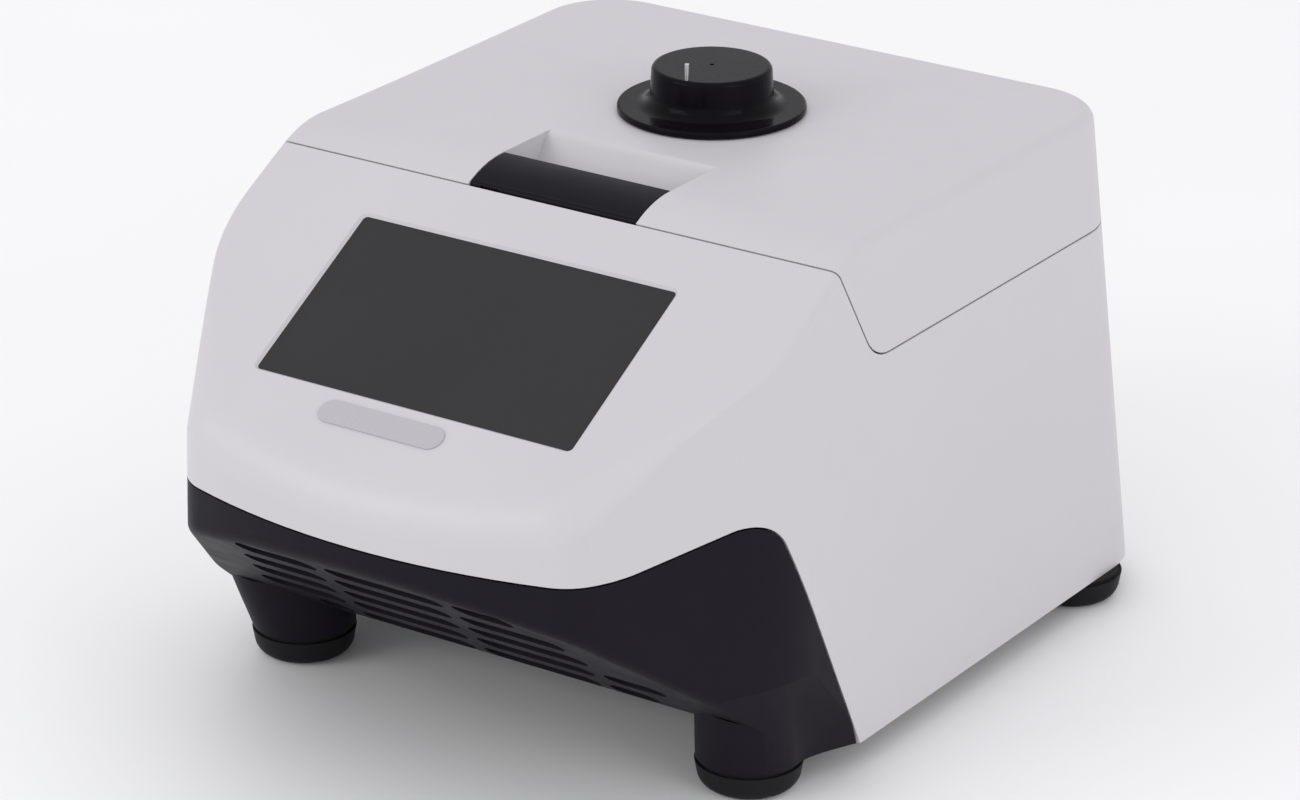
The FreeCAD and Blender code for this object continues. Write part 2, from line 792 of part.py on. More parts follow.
def skirt_form(inset):
    """The right corner below the skirt's top: the wall turns in from the cheek to the leg."""
    spare = 0.05 - inset
    front = -dim("front_reach") - wall
    lean = math.tan(math.radians(dim("side_draft")))
    turn = math.radians(dim("cheek_turn"))
    inner_x, back = dim("leg_x") / 3, dim("leg_y") / 4

    def closed(level, start, last, arcs):
        """A loop from the back along the side, round the corner and forward along the cheek."""
        reach = (last[1] - front) / math.cos(turn)
        far = (last[0] - reach * math.sin(turn), front)
        edges = [Part.makeLine(Vector(start[0], back, level), Vector(*start, level))]
        edges += arcs
        for a, b in ((last, far), (far, (inner_x, front)), ((inner_x, front), (inner_x, back)),
                     ((inner_x, back), (start[0], back))):
            edges.append(Part.makeLine(Vector(*a, level), Vector(*b, level)))
        return Part.Wire(edges)

    top = dim("skirt_top")
    side_x = dim("base_half_wide") - (top - foot_tall) * lean
    cheek = dim("cheek_reach") + (dim("base_line_front") - top) * lean
    corner_y = (side_x * math.cos(turn) - cheek) / math.sin(turn)
    radius = dim("cheek_round")
    centre = Vector(side_x - radius, corner_y + radius * math.tan(turn / 2), top)
    steps = [turn * k / 4 for k in range(5)]
    at = [centre + Vector(math.cos(a), -math.sin(a), 0) * (radius + spare) for a in steps]
    high_arcs = [Part.Arc(at[0], at[1], at[2]).toShape(), Part.Arc(at[2], at[3], at[4]).toShape()]
    high = closed(top, (at[0].x, at[0].y), (at[4].x, at[4].y), high_arcs)
    back_turn, front_turn = dim("leg_turn_back"), dim("leg_turn_front")
    start = Vector(dim("base_half_wide") + spare, dim("skirt_start_y"), foot_tall)
    points = [Vector(*around_leg(a, -spare), foot_tall)
              for a in (back_turn, (back_turn + front_turn) / 2, front_turn)]
    blend = Part.BezierCurve()
    along = Vector(math.sin(math.radians(back_turn)), -math.cos(math.radians(back_turn)), 0)
    onward = points[0] - start
    third = onward.Length / 3
    onward.normalize()
    blend.setPoles([start, start + onward * third, points[0] - along * third, points[0]])
    low_arcs = [blend.toShape(), Part.Arc(*points).toShape()]
    low = closed(foot_tall, (start.x, start.y), (points[2].x, points[2].y), low_arcs)
    return Part.makeLoft([low, high], True, True)


def leg_flare():
    """The leg widened upwards on its outer side, where it runs into the skirt."""
    radius, flare = dim("leg_radius"), dim("leg_flare")
    turn = math.radians(dim("leg_flare_turn"))
    low_at = Vector(dim("leg_x"), dim("leg_y"), foot_tall)
    high_at = low_at + Vector(flare * math.cos(turn), flare * math.sin(turn), dim("leg_tall"))
    low, high = Part.makeCircle(radius, low_at), Part.makeCircle(radius + flare, high_at)
    return Part.makeLoft([Part.Wire(low), Part.Wire(high)], True, True)


def trimmed(form, skirt):
    """Takes off what stands outside the skirt in both front corners."""
    room = box((dim("leg_x") / 3, FAR), (-FAR, dim("leg_y") / 4), (foot_tall, dim("skirt_top")))
    extra = room.cut(skirt)
    return form.cut([extra, extra.mirror(Vector(0, 0, 0), Vector(1, 0, 0))])


def make_front_base():
    skirt = skirt_form(0)
    inside = trimmed(belly_form(wall), skirt_form(wall))
    shell = trimmed(belly_form(0), skirt).cut(inside)
    x, y = dim("leg_x"), dim("leg_y")
    core = Part.makeCylinder(dim("leg_core_radius"), dim("leg_tall") + fit, Vector(x, y, foot_tall))
    far = around_leg(dim("leg_turn_front"), -FAR)
    foot_print = Part.Face(Part.makePolygon([Vector(x, y, 0), Vector(*far, 0), Vector(far[0], 0, 0),
                                             Vector(x, 0, 0), Vector(x, y, 0)]))
    hollow = inside.common(box((-FAR, FAR), (-FAR, FAR), (plate_low, FAR)))
    fill_top = floor_level + dim("belly_round") + 1
    fill = upward(foot_print, foot_tall, fill_top).common(skirt).fuse(leg_flare().common(skirt))
    corner = core.fuse(fill.cut(hollow))
    shell = shell.fuse([corner, corner.mirror(Vector(0, 0, 0), Vector(1, 0, 0))])
    shell = shell.common(across(outline(base_region(), -gap / 2)))
    holes = [screw(side * x, y, foot_tall, 1, hole_gap) for side in both_sides]
    return shell.cut(vent_slots() + holes)


shaped("front_base", make_front_base())

# base plate: a steel sheet on the floor of the front base, screwed up into the casing's lugs
plate = plan_form(wall + fit).common(box((-FAR, FAR), (dim("plate_front_y"), FAR), (plate_low, plate_top)))
plate_tools = [screw(side * low_lug_x, y, plate_low, 1, hole_gap) for side, y in lug_places()]
shoulder_x = dim("base_half_wide") - wall - dim("belly_round")
for side in both_sides:
    spacer_at = Vector(side * dim("rear_foot_x"), dim("rear_foot_y"), 0)
    leg_at = Vector(side * dim("leg_x"), dim("leg_y"), 0)
    plate_tools.append(Part.makeCylinder(dim("screw_radius") + hole_gap, FAR, spacer_at))
    plate_tools.append(Part.makeCylinder(dim("leg_radius") + fit, FAR, leg_at))
    shoulder = sorted((side * shoulder_x, side * FAR))
    plate_tools.append(box(shoulder, (-FAR, dim("base_line_low_y")), (0, FAR)))
shaped("base_plate", plate.cut(plate_tools))

# deck cover: the white inner top that follows the seam and frames the sample block
surround_x = "(well_columns * well_pitch / 2 + block_rim + fit + surround_wall)"
surround_y = "(well_rows * well_pitch / 2 + block_rim + fit + surround_wall)"
block_half_x = dim("well_columns") * dim("well_pitch") / 2 + dim("block_rim")
block_half_y = dim("well_rows") * dim("well_pitch") / 2 + dim("block_rim")


def lining(inner_offset, outer_offset):
    """A sheet that follows the seam at two distances from it, inside the shells."""
    near, far = sorted((inner_offset, outer_offset))
    sheet_form = across(outline(seam_region(), far)).cut(across(outline(seam_region(), near)))
    return sheet_form.common(lining_form)


def leaf_room(low, high):
    """Room behind a lining for the hinge leaves on the back wall."""
    half = dim("hinge_long") / 2 + 2 * fit
    deep = wall + dim("leaf_thick") + 3 * fit
    found = [box((s * dim("hinge_x") - half, s * dim("hinge_x") + half), (-deep, wall), (low, high))
             for s in both_sides]
    return on_back(found[0].fuse(found[1]), seam_level)


hook_half = dim("hook_wide") / 2
hook_room = on_panel(box((-hook_half - 1.5, hook_half + 1.5), (-wall - dim("hook_nose"), 13),
                         (-dim("hook_long") - 4.5, -2 * dim("handle_nose") - 0.5)))
deck = lining(gap / 2 + dim("cover_gap"), gap / 2 + dim("cover_gap") + dim("cover_wall"))
deck_open = dim("deck_lip")
deck_tools = [
    box((-block_half_x - deck_open, block_half_x + deck_open),
        (block_y - block_half_y - deck_open, block_y + block_half_y + deck_open), (deck_low - wall,
                                                                                   deck_top + wall)),
    hook_room,
    leaf_room(-dim("leaf_tall"), 0),
]
deck_tools += [screw(side * high_lug_x, y, deck_top - dim("screw_head_tall"), -1, hole_gap) for side,
               y in lug_places()]
shaped("deck_cover", deck.cut(deck_tools))

# lid cover: the white outer shell of the lid with the finger recess and the knob's hole
bush_radius = dim("spindle_radius") + dim("shaft_gap") + dim("bush_wall")
post_places = [(x * dim("post_x"), block_y + y * dim("post_y")) for x in both_sides for y in both_sides]
tray_screws_at = [(s * dim("tray_screw_x"), y) for s in both_sides for y in (dim("lug_front_y"),
                                                                             dim("lug_back_y"))]


pivot_y = dim("handle_nose") + gap / 2 + fit / 2
pivot_z = -dim("handle_nose")


def make_lid_cover():
    lid_side = across(outline(seam_region(), -gap / 2))
    shell = outer_form.cut(inner_form).common(lid_side)
    half = dim("handle_half_wide") + dim("recess_gap")
    recess = outline(recess_region())
    lining_side = across(outline(recess_region(), wall), -half - wall, half + wall)
    shell = shell.fuse(lining_side.common(outer_form).common(lid_side))
    bosses = [Part.makeCylinder(dim("boss_radius"), lid_top - wall / 2 - tray_top, Vector(x, y, tray_top))
              for x, y in tray_screws_at]
    shell = shell.fuse(bosses)
    tools = [
        across(recess, -half, half),
        Part.makeCylinder(bush_radius + hole_gap, FAR, Vector(0, block_y, tray_top)),
        hook_room,
        hinge_notches(2 * fit),
        on_panel(Part.makeCylinder(dim("latch_pin_radius") + hole_gap, 2 * half + 2 * wall - 1,
                                   Vector(-half - wall + 0.5, pivot_y, pivot_z), Vector(1, 0, 0))),
    ]
    tools += [screw(x, y, tray_low + dim("screw_head_tall"), 1, hole_gap) for x, y in tray_screws_at]
    return shell.cut(tools)


shaped("lid_cover", make_lid_cover())

# lid tray: closes the lid below, open round the heated plate
tray = lining(-gap / 2 - dim("cover_gap"), -gap / 2 - dim("cover_gap") - dim("cover_wall"))
clear_x = dim("plate_wide") / 2 + dim("tray_clear")
clear_y = dim("plate_deep") / 2 + dim("tray_clear")
tray_tools = [
    box((-clear_x, clear_x), (block_y - clear_y, block_y + clear_y), (tray_low - wall, tray_top + wall)),
    hook_room,
    leaf_room(0, dim("leaf_tall")),
    across(outline(recess_region(), wall + fit), -dim("handle_half_wide") - 2 * wall,
           dim("handle_half_wide") + 2 * wall),
]
tray_tools += [screw(x, y, tray_low + dim("screw_head_tall"), 1, hole_gap) for x, y in tray_screws_at]
shaped("lid_tray", tray.cut(tray_tools))


# screws, one group for each place
def group_of(label, forms):
    return shaped(label, Part.makeCompound(forms))


group_of("base_screws", [screw(s * low_lug_x, y, plate_low, 1) for s, y in lug_places()])
group_of("deck_screws",
         [screw(s * high_lug_x, y, deck_top - dim("screw_head_tall"), -1) for s, y in lug_places()])
group_of("tray_screws", [screw(x, y, tray_low + dim("screw_head_tall"), 1) for x, y in tray_screws_at])
group_of("rear_screws", [rear_screw(a, b, 0) for a in both_sides for b in both_sides])

# rubber feet: tapered, rounded below, with a groove under their top; their screws go up into the legs
foot_places = {
    "foot_front_left": ("-leg_x", "leg_y"), "foot_front_right": ("leg_x", "leg_y"),
    "foot_rear_left": ("-rear_foot_x", "rear_foot_y"),
    "foot_rear_right": ("rear_foot_x", "rear_foot_y"),
}
for label, (x, y) in foot_places.items():
    sizes = {"Radius1": "foot_radius - foot_taper", "Radius2": "foot_radius",
             "Height": "foot_tall - foot_groove"}
    cone = primitive("Cone", label + "_cone", sizes, (x, y, "0"))
    soft = doc.addObject("Part::Fillet", label + "_soft")
    soft.Base = cone
    doc.recompute()
    low_edges = [n for n, e in enumerate(cone.Shape.Edges, start=1) if e.BoundBox.ZMax < 0.1]
    soft.Edges = [(n, dim("foot_round"), dim("foot_round")) for n in low_edges]
    neck = rod(label + "_neck", "foot_radius - foot_groove", "foot_groove", (x, y, "foot_tall - foot_groove"))
    whole = join(label + "_whole", [soft, neck])
    hole = rod(label + "_hole", "screw_radius + shaft_gap", "foot_tall", (x, y, "foot_sole"))
    sink = rod(label + "_sink", "screw_head_radius + 2 * shaft_gap", "foot_sole + screw_head_tall",
               (x, y, "0"))
    piece(cut(label, whole, [hole, sink]), label)
screws = []
for label, (x, y) in foot_places.items():
    shank = rod(label + "_shank", "screw_radius", "foot_tall + screw_long - foot_sole", (x, y, "foot_sole"))
    head = rod(label + "_head", "screw_head_radius", "screw_head_tall", (x, y, "foot_sole"))
    screws.append(join(label + "_screw", [shank, head]))
piece(group("foot_screws", screws), "foot_screws")
spacers = []
for side in ("-", ""):
    at = (side + "rear_foot_x", "rear_foot_y", "foot_tall")
    tube = rod("spacer", "spacer_radius", "floor_level + wall - foot_tall", at)
    bore = rod("spacer_bore", "screw_radius + shaft_gap", "floor_level + wall", at)
    spacers.append(cut("spacer_tube", tube, [bore]))
piece(group("foot_spacers", spacers), "foot_spacers")

# sample block: aluminium with rows of tapered wells, on thermoelectric modules
block_low = "sink_top + peltier_thick"
half_x = "(well_columns * well_pitch / 2 + block_rim)"
half_y = "(well_rows * well_pitch / 2 + block_rim)"
raw_block = block("block_raw", (f"2 * {half_x}", f"2 * {half_y}", f"block_top - ({block_low})"),
                  ("0", "block_y", block_low))
wells = []
for row in range(int(dim("well_rows"))):
    for column in range(int(dim("well_columns"))):
        well_x = (column + 0.5 - dim("well_columns") / 2) * dim("well_pitch")
        well_y = block_y + (row + 0.5 - dim("well_rows") / 2) * dim("well_pitch")
        at = Vector(well_x, well_y, dim("block_top") - dim("well_deep"))
        wells.append(Part.makeCone(dim("well_end_radius"), dim("well_radius"), dim("well_deep"), at))
well_forms = doc.addObject("Part::Feature", "wells")
well_forms.Shape = Part.makeCompound(wells)
piece(cut("block_cut", raw_block, [well_forms]), "sample_block")

modules = []
for column in (-1, 0, 1):
    for row in (-0.5, 0.5):
        at = (f"{column} * (module_side - {1 if column else 0} * fit * 4)",
              f"block_y + {row} * module_side", "sink_top")
        modules.append(block("peltier", ("module_side - fit * 5", "module_side - fit", "peltier_thick"), at))
piece(group("peltier_modules", modules), "peltier_modules")

# block surround: a black plastic frame round the block, under the deck's lip
around = block("surround_raw", (f"2 * {surround_x}", f"2 * {surround_y}",
                                f"({deck_low_text}) - fit - sink_top"), ("0", "block_y", "sink_top"))
inside = block("surround_hole", (f"2 * ({half_x} + fit)", f"2 * ({half_y} + fit)", "lid_top"),
               ("0", "block_y", "0"))
piece(cut("surround_cut", around, [inside]), "block_surround")


# heat sink: a thick base with a row of fins along the air's way
def origin_plane(body, role):
    return next(f for f in body.Origin.OriginFeatures if f.Role == role)


def drawn_box(body, name, centre, size, low):
    """A rectangle on the body's floor plane, its sizes and place bound to the sheet."""
    sketch = body.newObject("Sketcher::SketchObject", name)
    sketch.AttachmentSupport = (origin_plane(body, "XY_Plane"), "")
    sketch.MapMode = "FlatFace"
    corners = [Vector(-1, -1, 0), Vector(1, -1, 0), Vector(1, 1, 0), Vector(-1, 1, 0)]
    for k in range(4):
        sketch.addGeometry(Part.LineSegment(corners[k], corners[(k + 1) % 4]), False)
    for k in range(4):
        sketch.addConstraint(Sketcher.Constraint("Coincident", k, 2, (k + 1) % 4, 1))
    for k in (0, 2):
        sketch.addConstraint(Sketcher.Constraint("Horizontal", k))
    for k in (1, 3):
        sketch.addConstraint(Sketcher.Constraint("Vertical", k))
    for word, first, second in (("DistanceX", 0, 0), ("DistanceY", 1, 1)):
        number = sketch.addConstraint(Sketcher.Constraint(word, first, 1, second, 2, 2.0))
        sketch.setExpression(f"Constraints[{number}]", bound(size[first]))
    for k, word in enumerate(("DistanceX", "DistanceY")):
        number = sketch.addConstraint(Sketcher.Constraint(word, 0, 1, -1, 1, 1.0))
        sketch.setExpression(f"Constraints[{number}]", bound(f"({size[k]}) / 2 - ({centre[k]})"))
    sketch.setExpression("AttachmentOffset.Base.z", bound(low))
    return sketch


def padded(body, name, sketch, tall):
    pad = body.newObject("PartDesign::Pad", name)
    pad.Profile = sketch
    pad.setExpression("Length", bound(tall))
    return pad


sink = doc.addObject("PartDesign::Body", "sink_body")
sink_floor = "sink_top - sink_base"
padded(sink, "sink_slab", drawn_box(sink, "sink_slab_plan", ("0", "block_y"), ("sink_wide", "sink_deep"),
                                    sink_floor), "sink_base")
fin_low = "sink_top - sink_base - fin_tall"
first_fin = "-(fin_count - 1) * fin_pitch / 2"
fin_plan = drawn_box(sink, "fin_plan", (first_fin, "block_y"), ("fin_thick", "sink_deep"), fin_low)
fin = padded(sink, "fin", fin_plan, "fin_tall")
fins = sink.newObject("PartDesign::LinearPattern", "fins")
fins.Originals = [fin]
fins.Direction = (fin_plan, ["H_Axis"])
fins.setExpression("Length", bound("(fin_count - 1) * fin_pitch"))
fins.setExpression("Occurrences", bound("fin_count"))
sink.Tip = fins
piece(sink, "heat_sink")

# two steel side frames carry the heat sink on the base plate
frame_low = "base_top"
frame_long = "sink_deep + fan_deep + duct_deep"
frame_mid = "block_y - (fan_deep + duct_deep) / 2"
frames = []
for side in ("-1", "1"):
    web = block("frame_web", ("frame_thick", frame_long, f"{sink_floor} - ({frame_low})"),
                (f"{side} * frame_x", frame_mid, frame_low))
    flange = block("frame_flange_plate", ("frame_flange", frame_long, "frame_thick"),
                   (f"{side} * (frame_x + frame_thick / 2 + frame_flange / 2 - fit)", frame_mid, frame_low))
    frames.append(join("sink_frame", [web, flange]))
piece(group("sink_frames", frames), "sink_frames")

# duct and two fans that blow through the fins
fan_z = f"({fin_low} + fin_tall / 2)"
duct_back = "block_y - sink_deep / 2 - fit"
duct_front = f"{duct_back} - duct_deep"
duct_wide = "2 * frame_x - frame_thick"
ring = block("duct_raw", (duct_wide, "duct_deep", "fan_side"),
             ("0", f"{duct_front} + duct_deep / 2", f"{fan_z} - fan_side / 2"))
ring_hole = block("duct_hole", ("2 * (fan_x + fan_bore)", "2 * duct_deep", "fan_side - 2 * duct_wall"),
                  ("0", f"{duct_front} + duct_deep / 2", f"{fan_z} - fan_side / 2 + duct_wall"))
piece(cut("duct_cut", ring, [ring_hole]), "fan_duct")


def fan(label, side):
    """A square frame with a round bore and a hub on struts, and a bladed rotor on its shaft."""
    x = f"{side} * fan_x"
    body_y = f"{duct_front} - fan_deep / 2"
    square = block(label + "_square", ("fan_side", "fan_deep", "fan_side"),
                   (x, body_y, f"{fan_z} - fan_side / 2"))
    bore = rod(label + "_bore", "fan_bore", "2 * fan_deep", (x, f"{duct_front} + fan_deep / 2", fan_z), "y")
    shell = cut(label + "_shell", square, [bore])
    strut_y = f"{duct_front} - fan_struts / 2"
    span = "2 * fan_bore + 2 * fit"
    struts = [
        block(label + "_strut_x", (span, "fan_struts", "fan_struts"),
              (x, strut_y, f"{fan_z} - fan_struts / 2")),
        block(label + "_strut_z", ("fan_struts", "fan_struts", span),
              (x, strut_y, f"{fan_z} - fan_bore - fit")),
        rod(label + "_stator", "fan_hub", "fan_struts", (x, duct_front, fan_z), "y"),
        rod(label + "_shaft", "fan_hub / 5", "fan_deep / 2", (x, duct_front, fan_z), "y"),
    ]
    piece(join(label + "_frame", [shell] + struts), "fan_frame_" + label)
    deep = dim("fan_deep") - dim("fan_struts") - 2 * dim("fan_blade_gap")
    reach = dim("fan_bore") - dim("fan_blade_gap")
    back_way = Vector(0, 1, 0)
    hub = Part.makeCylinder(dim("fan_hub"), deep, Vector(0, 0, 0), back_way)
    thick = dim("fan_blade_thick")
    blades = []
    for k in range(int(dim("fan_blades"))):
        blade = Part.makeBox(thick, 2 * deep, reach, Vector(-thick / 2, -deep, 0))
        blade.rotate(Vector(0, 0, 0), Vector(0, 0, 1), dim("fan_blade_turn"))
        blade.translate(Vector(0, deep / 2, 0))
        blade.rotate(Vector(0, 0, 0), back_way, 360 * k / dim("fan_blades"))
        blades.append(blade)
    rotor = hub.fuse(blades).common(Part.makeCylinder(reach, deep, Vector(0, 0, 0), back_way))
    bearing_radius = dim("fan_hub") / 5 + dim("shaft_gap")
    rotor = rotor.cut(Part.makeCylinder(bearing_radius, deep * 0.8, Vector(0, deep, 0), -back_way))
    front = fan_front + dim("fan_blade_gap")
    rotor.translate(Vector(side * dim("fan_x"), front, fan_height))
    shaped("fan_rotor_" + label, rotor)


fan_front = block_y - dim("sink_deep") / 2 - fit - dim("duct_deep") - dim("fan_deep")
fan_height = dim("sink_top") - dim("sink_base") - dim("fin_tall") / 2
fan("left", -1)
fan("right", 1)

# power supply: an open-fronted steel case with its coil, capacitors and terminals inside
supply_wide, supply_x = "side_room", "side_room_x"
supply_y = "(back_reach - supply_back - supply_deep / 2)"
in_case = "base_top + plate_thick"
supply_at = (supply_x, supply_y, "base_top")
case = block("supply_case", (supply_wide, "supply_deep", "supply_tall"), supply_at)
room_size = (f"{supply_wide} - 2 * plate_thick", "supply_deep", "supply_tall - 2 * plate_thick")
room = block("supply_room", room_size,
             (supply_x, f"{supply_y} - plate_thick", in_case))
piece(cut("supply_shell", case, [room]), "power_supply")
supply_parts = [
    block("supply_coil", (f"{supply_wide} / 2", f"{supply_wide} / 2", "supply_tall / 2"),
          (supply_x, supply_y, in_case)),
    block("supply_terminals", (f"{supply_wide} * 0.8", f"{supply_wide} / 4", "supply_tall / 4"),
          (supply_x, f"{supply_y} - supply_deep / 2 + {supply_wide} / 4", in_case)),
]
for side in ("-", ""):
    at = (f"{supply_x} {side or '+'} {supply_wide} / 5", f"{supply_y} + supply_deep / 4", in_case)
    supply_parts.append(rod("supply_capacitor", f"{supply_wide} / 7", "supply_tall / 2", at))
piece(group("supply_parts", supply_parts), "supply_parts")

# main board on four standoffs, with its heat spreader, relays, capacitors and plugs
board_wide, board_x = "side_room", "(-side_room_x)"
board_y = "(back_reach - board_back - board_deep / 2)"
board_low = "base_top + standoff_tall"
board_raw = block("board_raw", (board_wide, "board_deep", "board_thick"), (board_x, board_y, board_low))
corner_x = f"({board_wide} / 2 - 2 * standoff_radius)"
corner_y = "(board_deep / 2 - 2 * standoff_radius)"
holes, standoffs = [], []
for x in ("-", "+"):
    for y in ("-", "+"):
        at = (f"{board_x} {x} {corner_x}", f"{board_y} {y} {corner_y}", "base_top")
        holes.append(rod("board_hole", "screw_radius", "board_thick + standoff_tall", at))
        post = rod("standoff_post", "standoff_radius", "standoff_tall", at)
        stem = rod("standoff_stem", "screw_radius - shaft_gap",
                   "standoff_tall + board_thick + screw_radius", at)
        standoffs.append(join("standoff", [post, stem]))
piece(cut("board_cut", board_raw, holes), "main_board")
piece(group("board_standoffs", standoffs), "board_standoffs")
board_top = f"{board_low} + board_thick"
board_parts = [
    block("board_spreader", (f"{board_wide} / 2", f"{board_wide} / 2", f"{board_wide} / 4"),
          (board_x, board_y, board_top)),
    block("board_chip", (f"{board_wide} / 4", f"{board_wide} / 4", "board_thick"),
          (board_x, f"{board_y} + board_deep / 4", board_top)),
    block("board_plug", (f"{board_wide} / 6", f"{board_wide} / 2", f"{board_wide} / 6"),
          (f"{board_x} + {board_wide} / 3", f"{board_y} - board_deep / 4", board_top)),
]
for k in (1, 2, 3):
    at = (f"{board_x} - {board_wide} / 4", f"{board_y} - board_deep / 2 + {k} * {board_wide} / 3", board_top)
    board_parts.append(rod("board_capacitor", f"{board_wide} / 10", f"{board_wide} / 3", at))
piece(group("board_parts", board_parts), "board_parts")

# screen: glass under the window's lip, the display behind it, and the steel bracket that holds both
window_centre = "-(window_down + window_tall / 2)"
glass_size = ("window_wide + 2 * glass_rim", "window_tall + 2 * glass_rim", "glass_thick")
glass = block("glass_raw", glass_size, ("0", window_centre, "-glass_sunk - glass_thick"))
piece(leaned(group("glass", [glass]), PANEL, "panel_tilt"), "touch_glass")
display = block("display_raw", (glass_size[0], glass_size[1], "module_thick"),
                ("0", window_centre, "-glass_sunk - glass_thick - module_thick"))
piece(leaned(group("display", [display]), PANEL, "panel_tilt"), "display_module")
bracket_low = "-glass_sunk - glass_thick - module_thick - bracket_thick"
bracket = block("bracket_raw", (f"{glass_size[0]} + 2 * bracket_rim + 2", glass_size[1], "bracket_thick"),
                ("0", window_centre, bracket_low))
bracket_hole = block("bracket_hole", ("window_wide * 0.7", "window_tall * 0.6", "2 * bracket_thick"),
                     ("0", window_centre, bracket_low))
piece(leaned(cut("bracket_cut", bracket, [bracket_hole]), PANEL, "panel_tilt"), "display_bracket")
badge_mid = block("badge_mid", ("badge_wide - badge_tall", "badge_tall", "badge_thick"),
                  ("badge_x", "-badge_down", "0"))
badge_ends = [rod("badge_end", "badge_tall / 2", "badge_thick",
                  (f"badge_x {sign} (badge_wide - badge_tall) / 2", "-badge_down", "0"))
              for sign in ("-", "+")]
piece(leaned(join("badge", [badge_mid] + badge_ends), PANEL, "panel_tilt"), "badge_plate")

# rear panel: a steel sheet behind the casing's opening, with the cut-outs of its fittings
sheet_y = "-wall - rear_thick / 2"
rear_raw = block("rear_raw", ("rear_wide + 2 * rear_rim", "rear_thick", "rear_tall + 2 * rear_rim"),
                 ("0", sheet_y, "-rear_tall / 2 - rear_rim"))


def rear_hole(name, wide, tall, x):
    size = (f"{wide} + 2 * fit", "4 * wall", f"{tall} + 2 * fit")
    return block(name, size, (x, sheet_y, f"-({tall}) / 2 - fit"))


switch_wide = "(rocker_wide + 2 * inlet_wall + 2 * fit)"
switch_tall = "(rocker_tall + 2 * inlet_wall + 4 * fit)"
fitting_holes = [
    rear_hole("inlet_hole", "inlet_wide", "inlet_tall", "inlet_x"),
    rear_hole("fuse_hole", "fuse_wide - 2 * inlet_wall", "fuse_tall - 2 * inlet_wall", "fuse_x"),
    rear_hole("switch_hole", switch_wide, switch_tall, "switch_x"),
    rear_hole("port_hole", "port_wide", "port_tall", "port_x"),
]
for x in ("-", ""):
    for z in ("-", ""):
        at = (f"{x}(rear_wide / 2 + rear_rim / 2)", "0", f"{z}rear_tall / 4")
        fitting_holes.append(rod("rear_screw_hole", "screw_radius * 0.75 + shaft_gap", "3 * wall", at, "y"))
piece(leaned(cut("rear_cut", rear_raw, fitting_holes), REAR, "back_lean"), "rear_panel")


def fitting(name, wide, deep, tall, x, rim):
    """A body behind the rear panel with a rim that rests on the panel's outside."""
    body = block(name + "_body", (wide, deep, tall), (x, f"-wall - ({deep}) / 2", f"-({tall}) / 2"))
    face = block(name + "_rim", (f"{wide} + 2 * {rim}", "inlet_wall", f"{tall} + 2 * {rim}"),
                 (x, "-wall + inlet_wall / 2", f"-({tall}) / 2 - {rim}"))
    return join(name + "_whole", [body, face])


def cavity(name, wide, deep, tall, x):
    """The hollow of a fitting, open at its rim."""
    return block(name + "_cavity", (wide, f"2 * ({deep})", tall), (x, "inlet_wall - wall", f"-({tall}) / 2"))


inlet = fitting("inlet", "inlet_wide", "inlet_deep", "inlet_tall", "inlet_x", "inlet_rim")
inlet_room = cavity("inlet", "inlet_wide - 2 * inlet_wall", "inlet_deep - 2 * inlet_wall",
                    "inlet_tall - 2 * inlet_wall", "inlet_x")
blades, blade_slots = [], []
cavity_back = "-wall - inlet_deep + 3 * inlet_wall"
for x, z in (("-inlet_wide / 4", "-inlet_wall"), ("inlet_wide / 4", "-inlet_wall"), ("0", "inlet_wall")):
    for found, name in ((blades, "blade"), (blade_slots, "blade_slot")):
        found.append(block(name, ("inlet_wall", "pin_long + 6 * inlet_wall", "2 * inlet_wall"),
                           (f"inlet_x + {x}", f"{cavity_back} + pin_long / 2 - 3 * inlet_wall",
                            f"{z} - inlet_wall")))
piece(leaned(cut("inlet_cut", inlet, [inlet_room] + blade_slots), REAR, "back_lean"), "power_inlet")
piece(leaned(group("blades", blades), REAR, "back_lean"), "inlet_pins")
fuse = fitting("fuse", "fuse_wide - 2 * inlet_wall", "fuse_wide", "fuse_tall - 2 * inlet_wall", "fuse_x",
               "inlet_wall")
piece(leaned(fuse, REAR, "back_lean"), "fuse_drawer")
port = fitting("port", "port_wide", "port_wide", "port_tall", "port_x", "port_wall")
port_room = cavity("port", "port_wide - 2 * port_wall", "port_tall - 2 * port_wall",
                   "port_tall - 2 * port_wall", "port_x")
piece(leaned(cut("port_cut", port, [port_room]), REAR, "back_lean"), "data_port")

# power switch: a housing and a rocker that tips on its axle, resting with its lower half pressed in
rocker_out = "(inlet_wall - wall)"
housing = fitting("switch", switch_wide, "rocker_deep + 3 * inlet_wall", switch_tall, "switch_x",
                  "inlet_wall")
rocker_room = cavity("switch", "rocker_wide + 2 * fit", "rocker_deep + inlet_wall", "rocker_tall + 4 * fit",
                     "switch_x")
axle_y = "(inlet_wall - wall - rocker_deep * 0.6)"
axle_hole = rod("axle_hole", "screw_radius * 0.75 + shaft_gap", "rocker_wide + 3 * inlet_wall",
                ("switch_x - rocker_wide / 2 - 1.5 * inlet_wall", axle_y, "0"), "x")
piece(leaned(cut("switch_cut", housing, [rocker_room, axle_hole]), REAR, "back_lean"), "switch_housing")


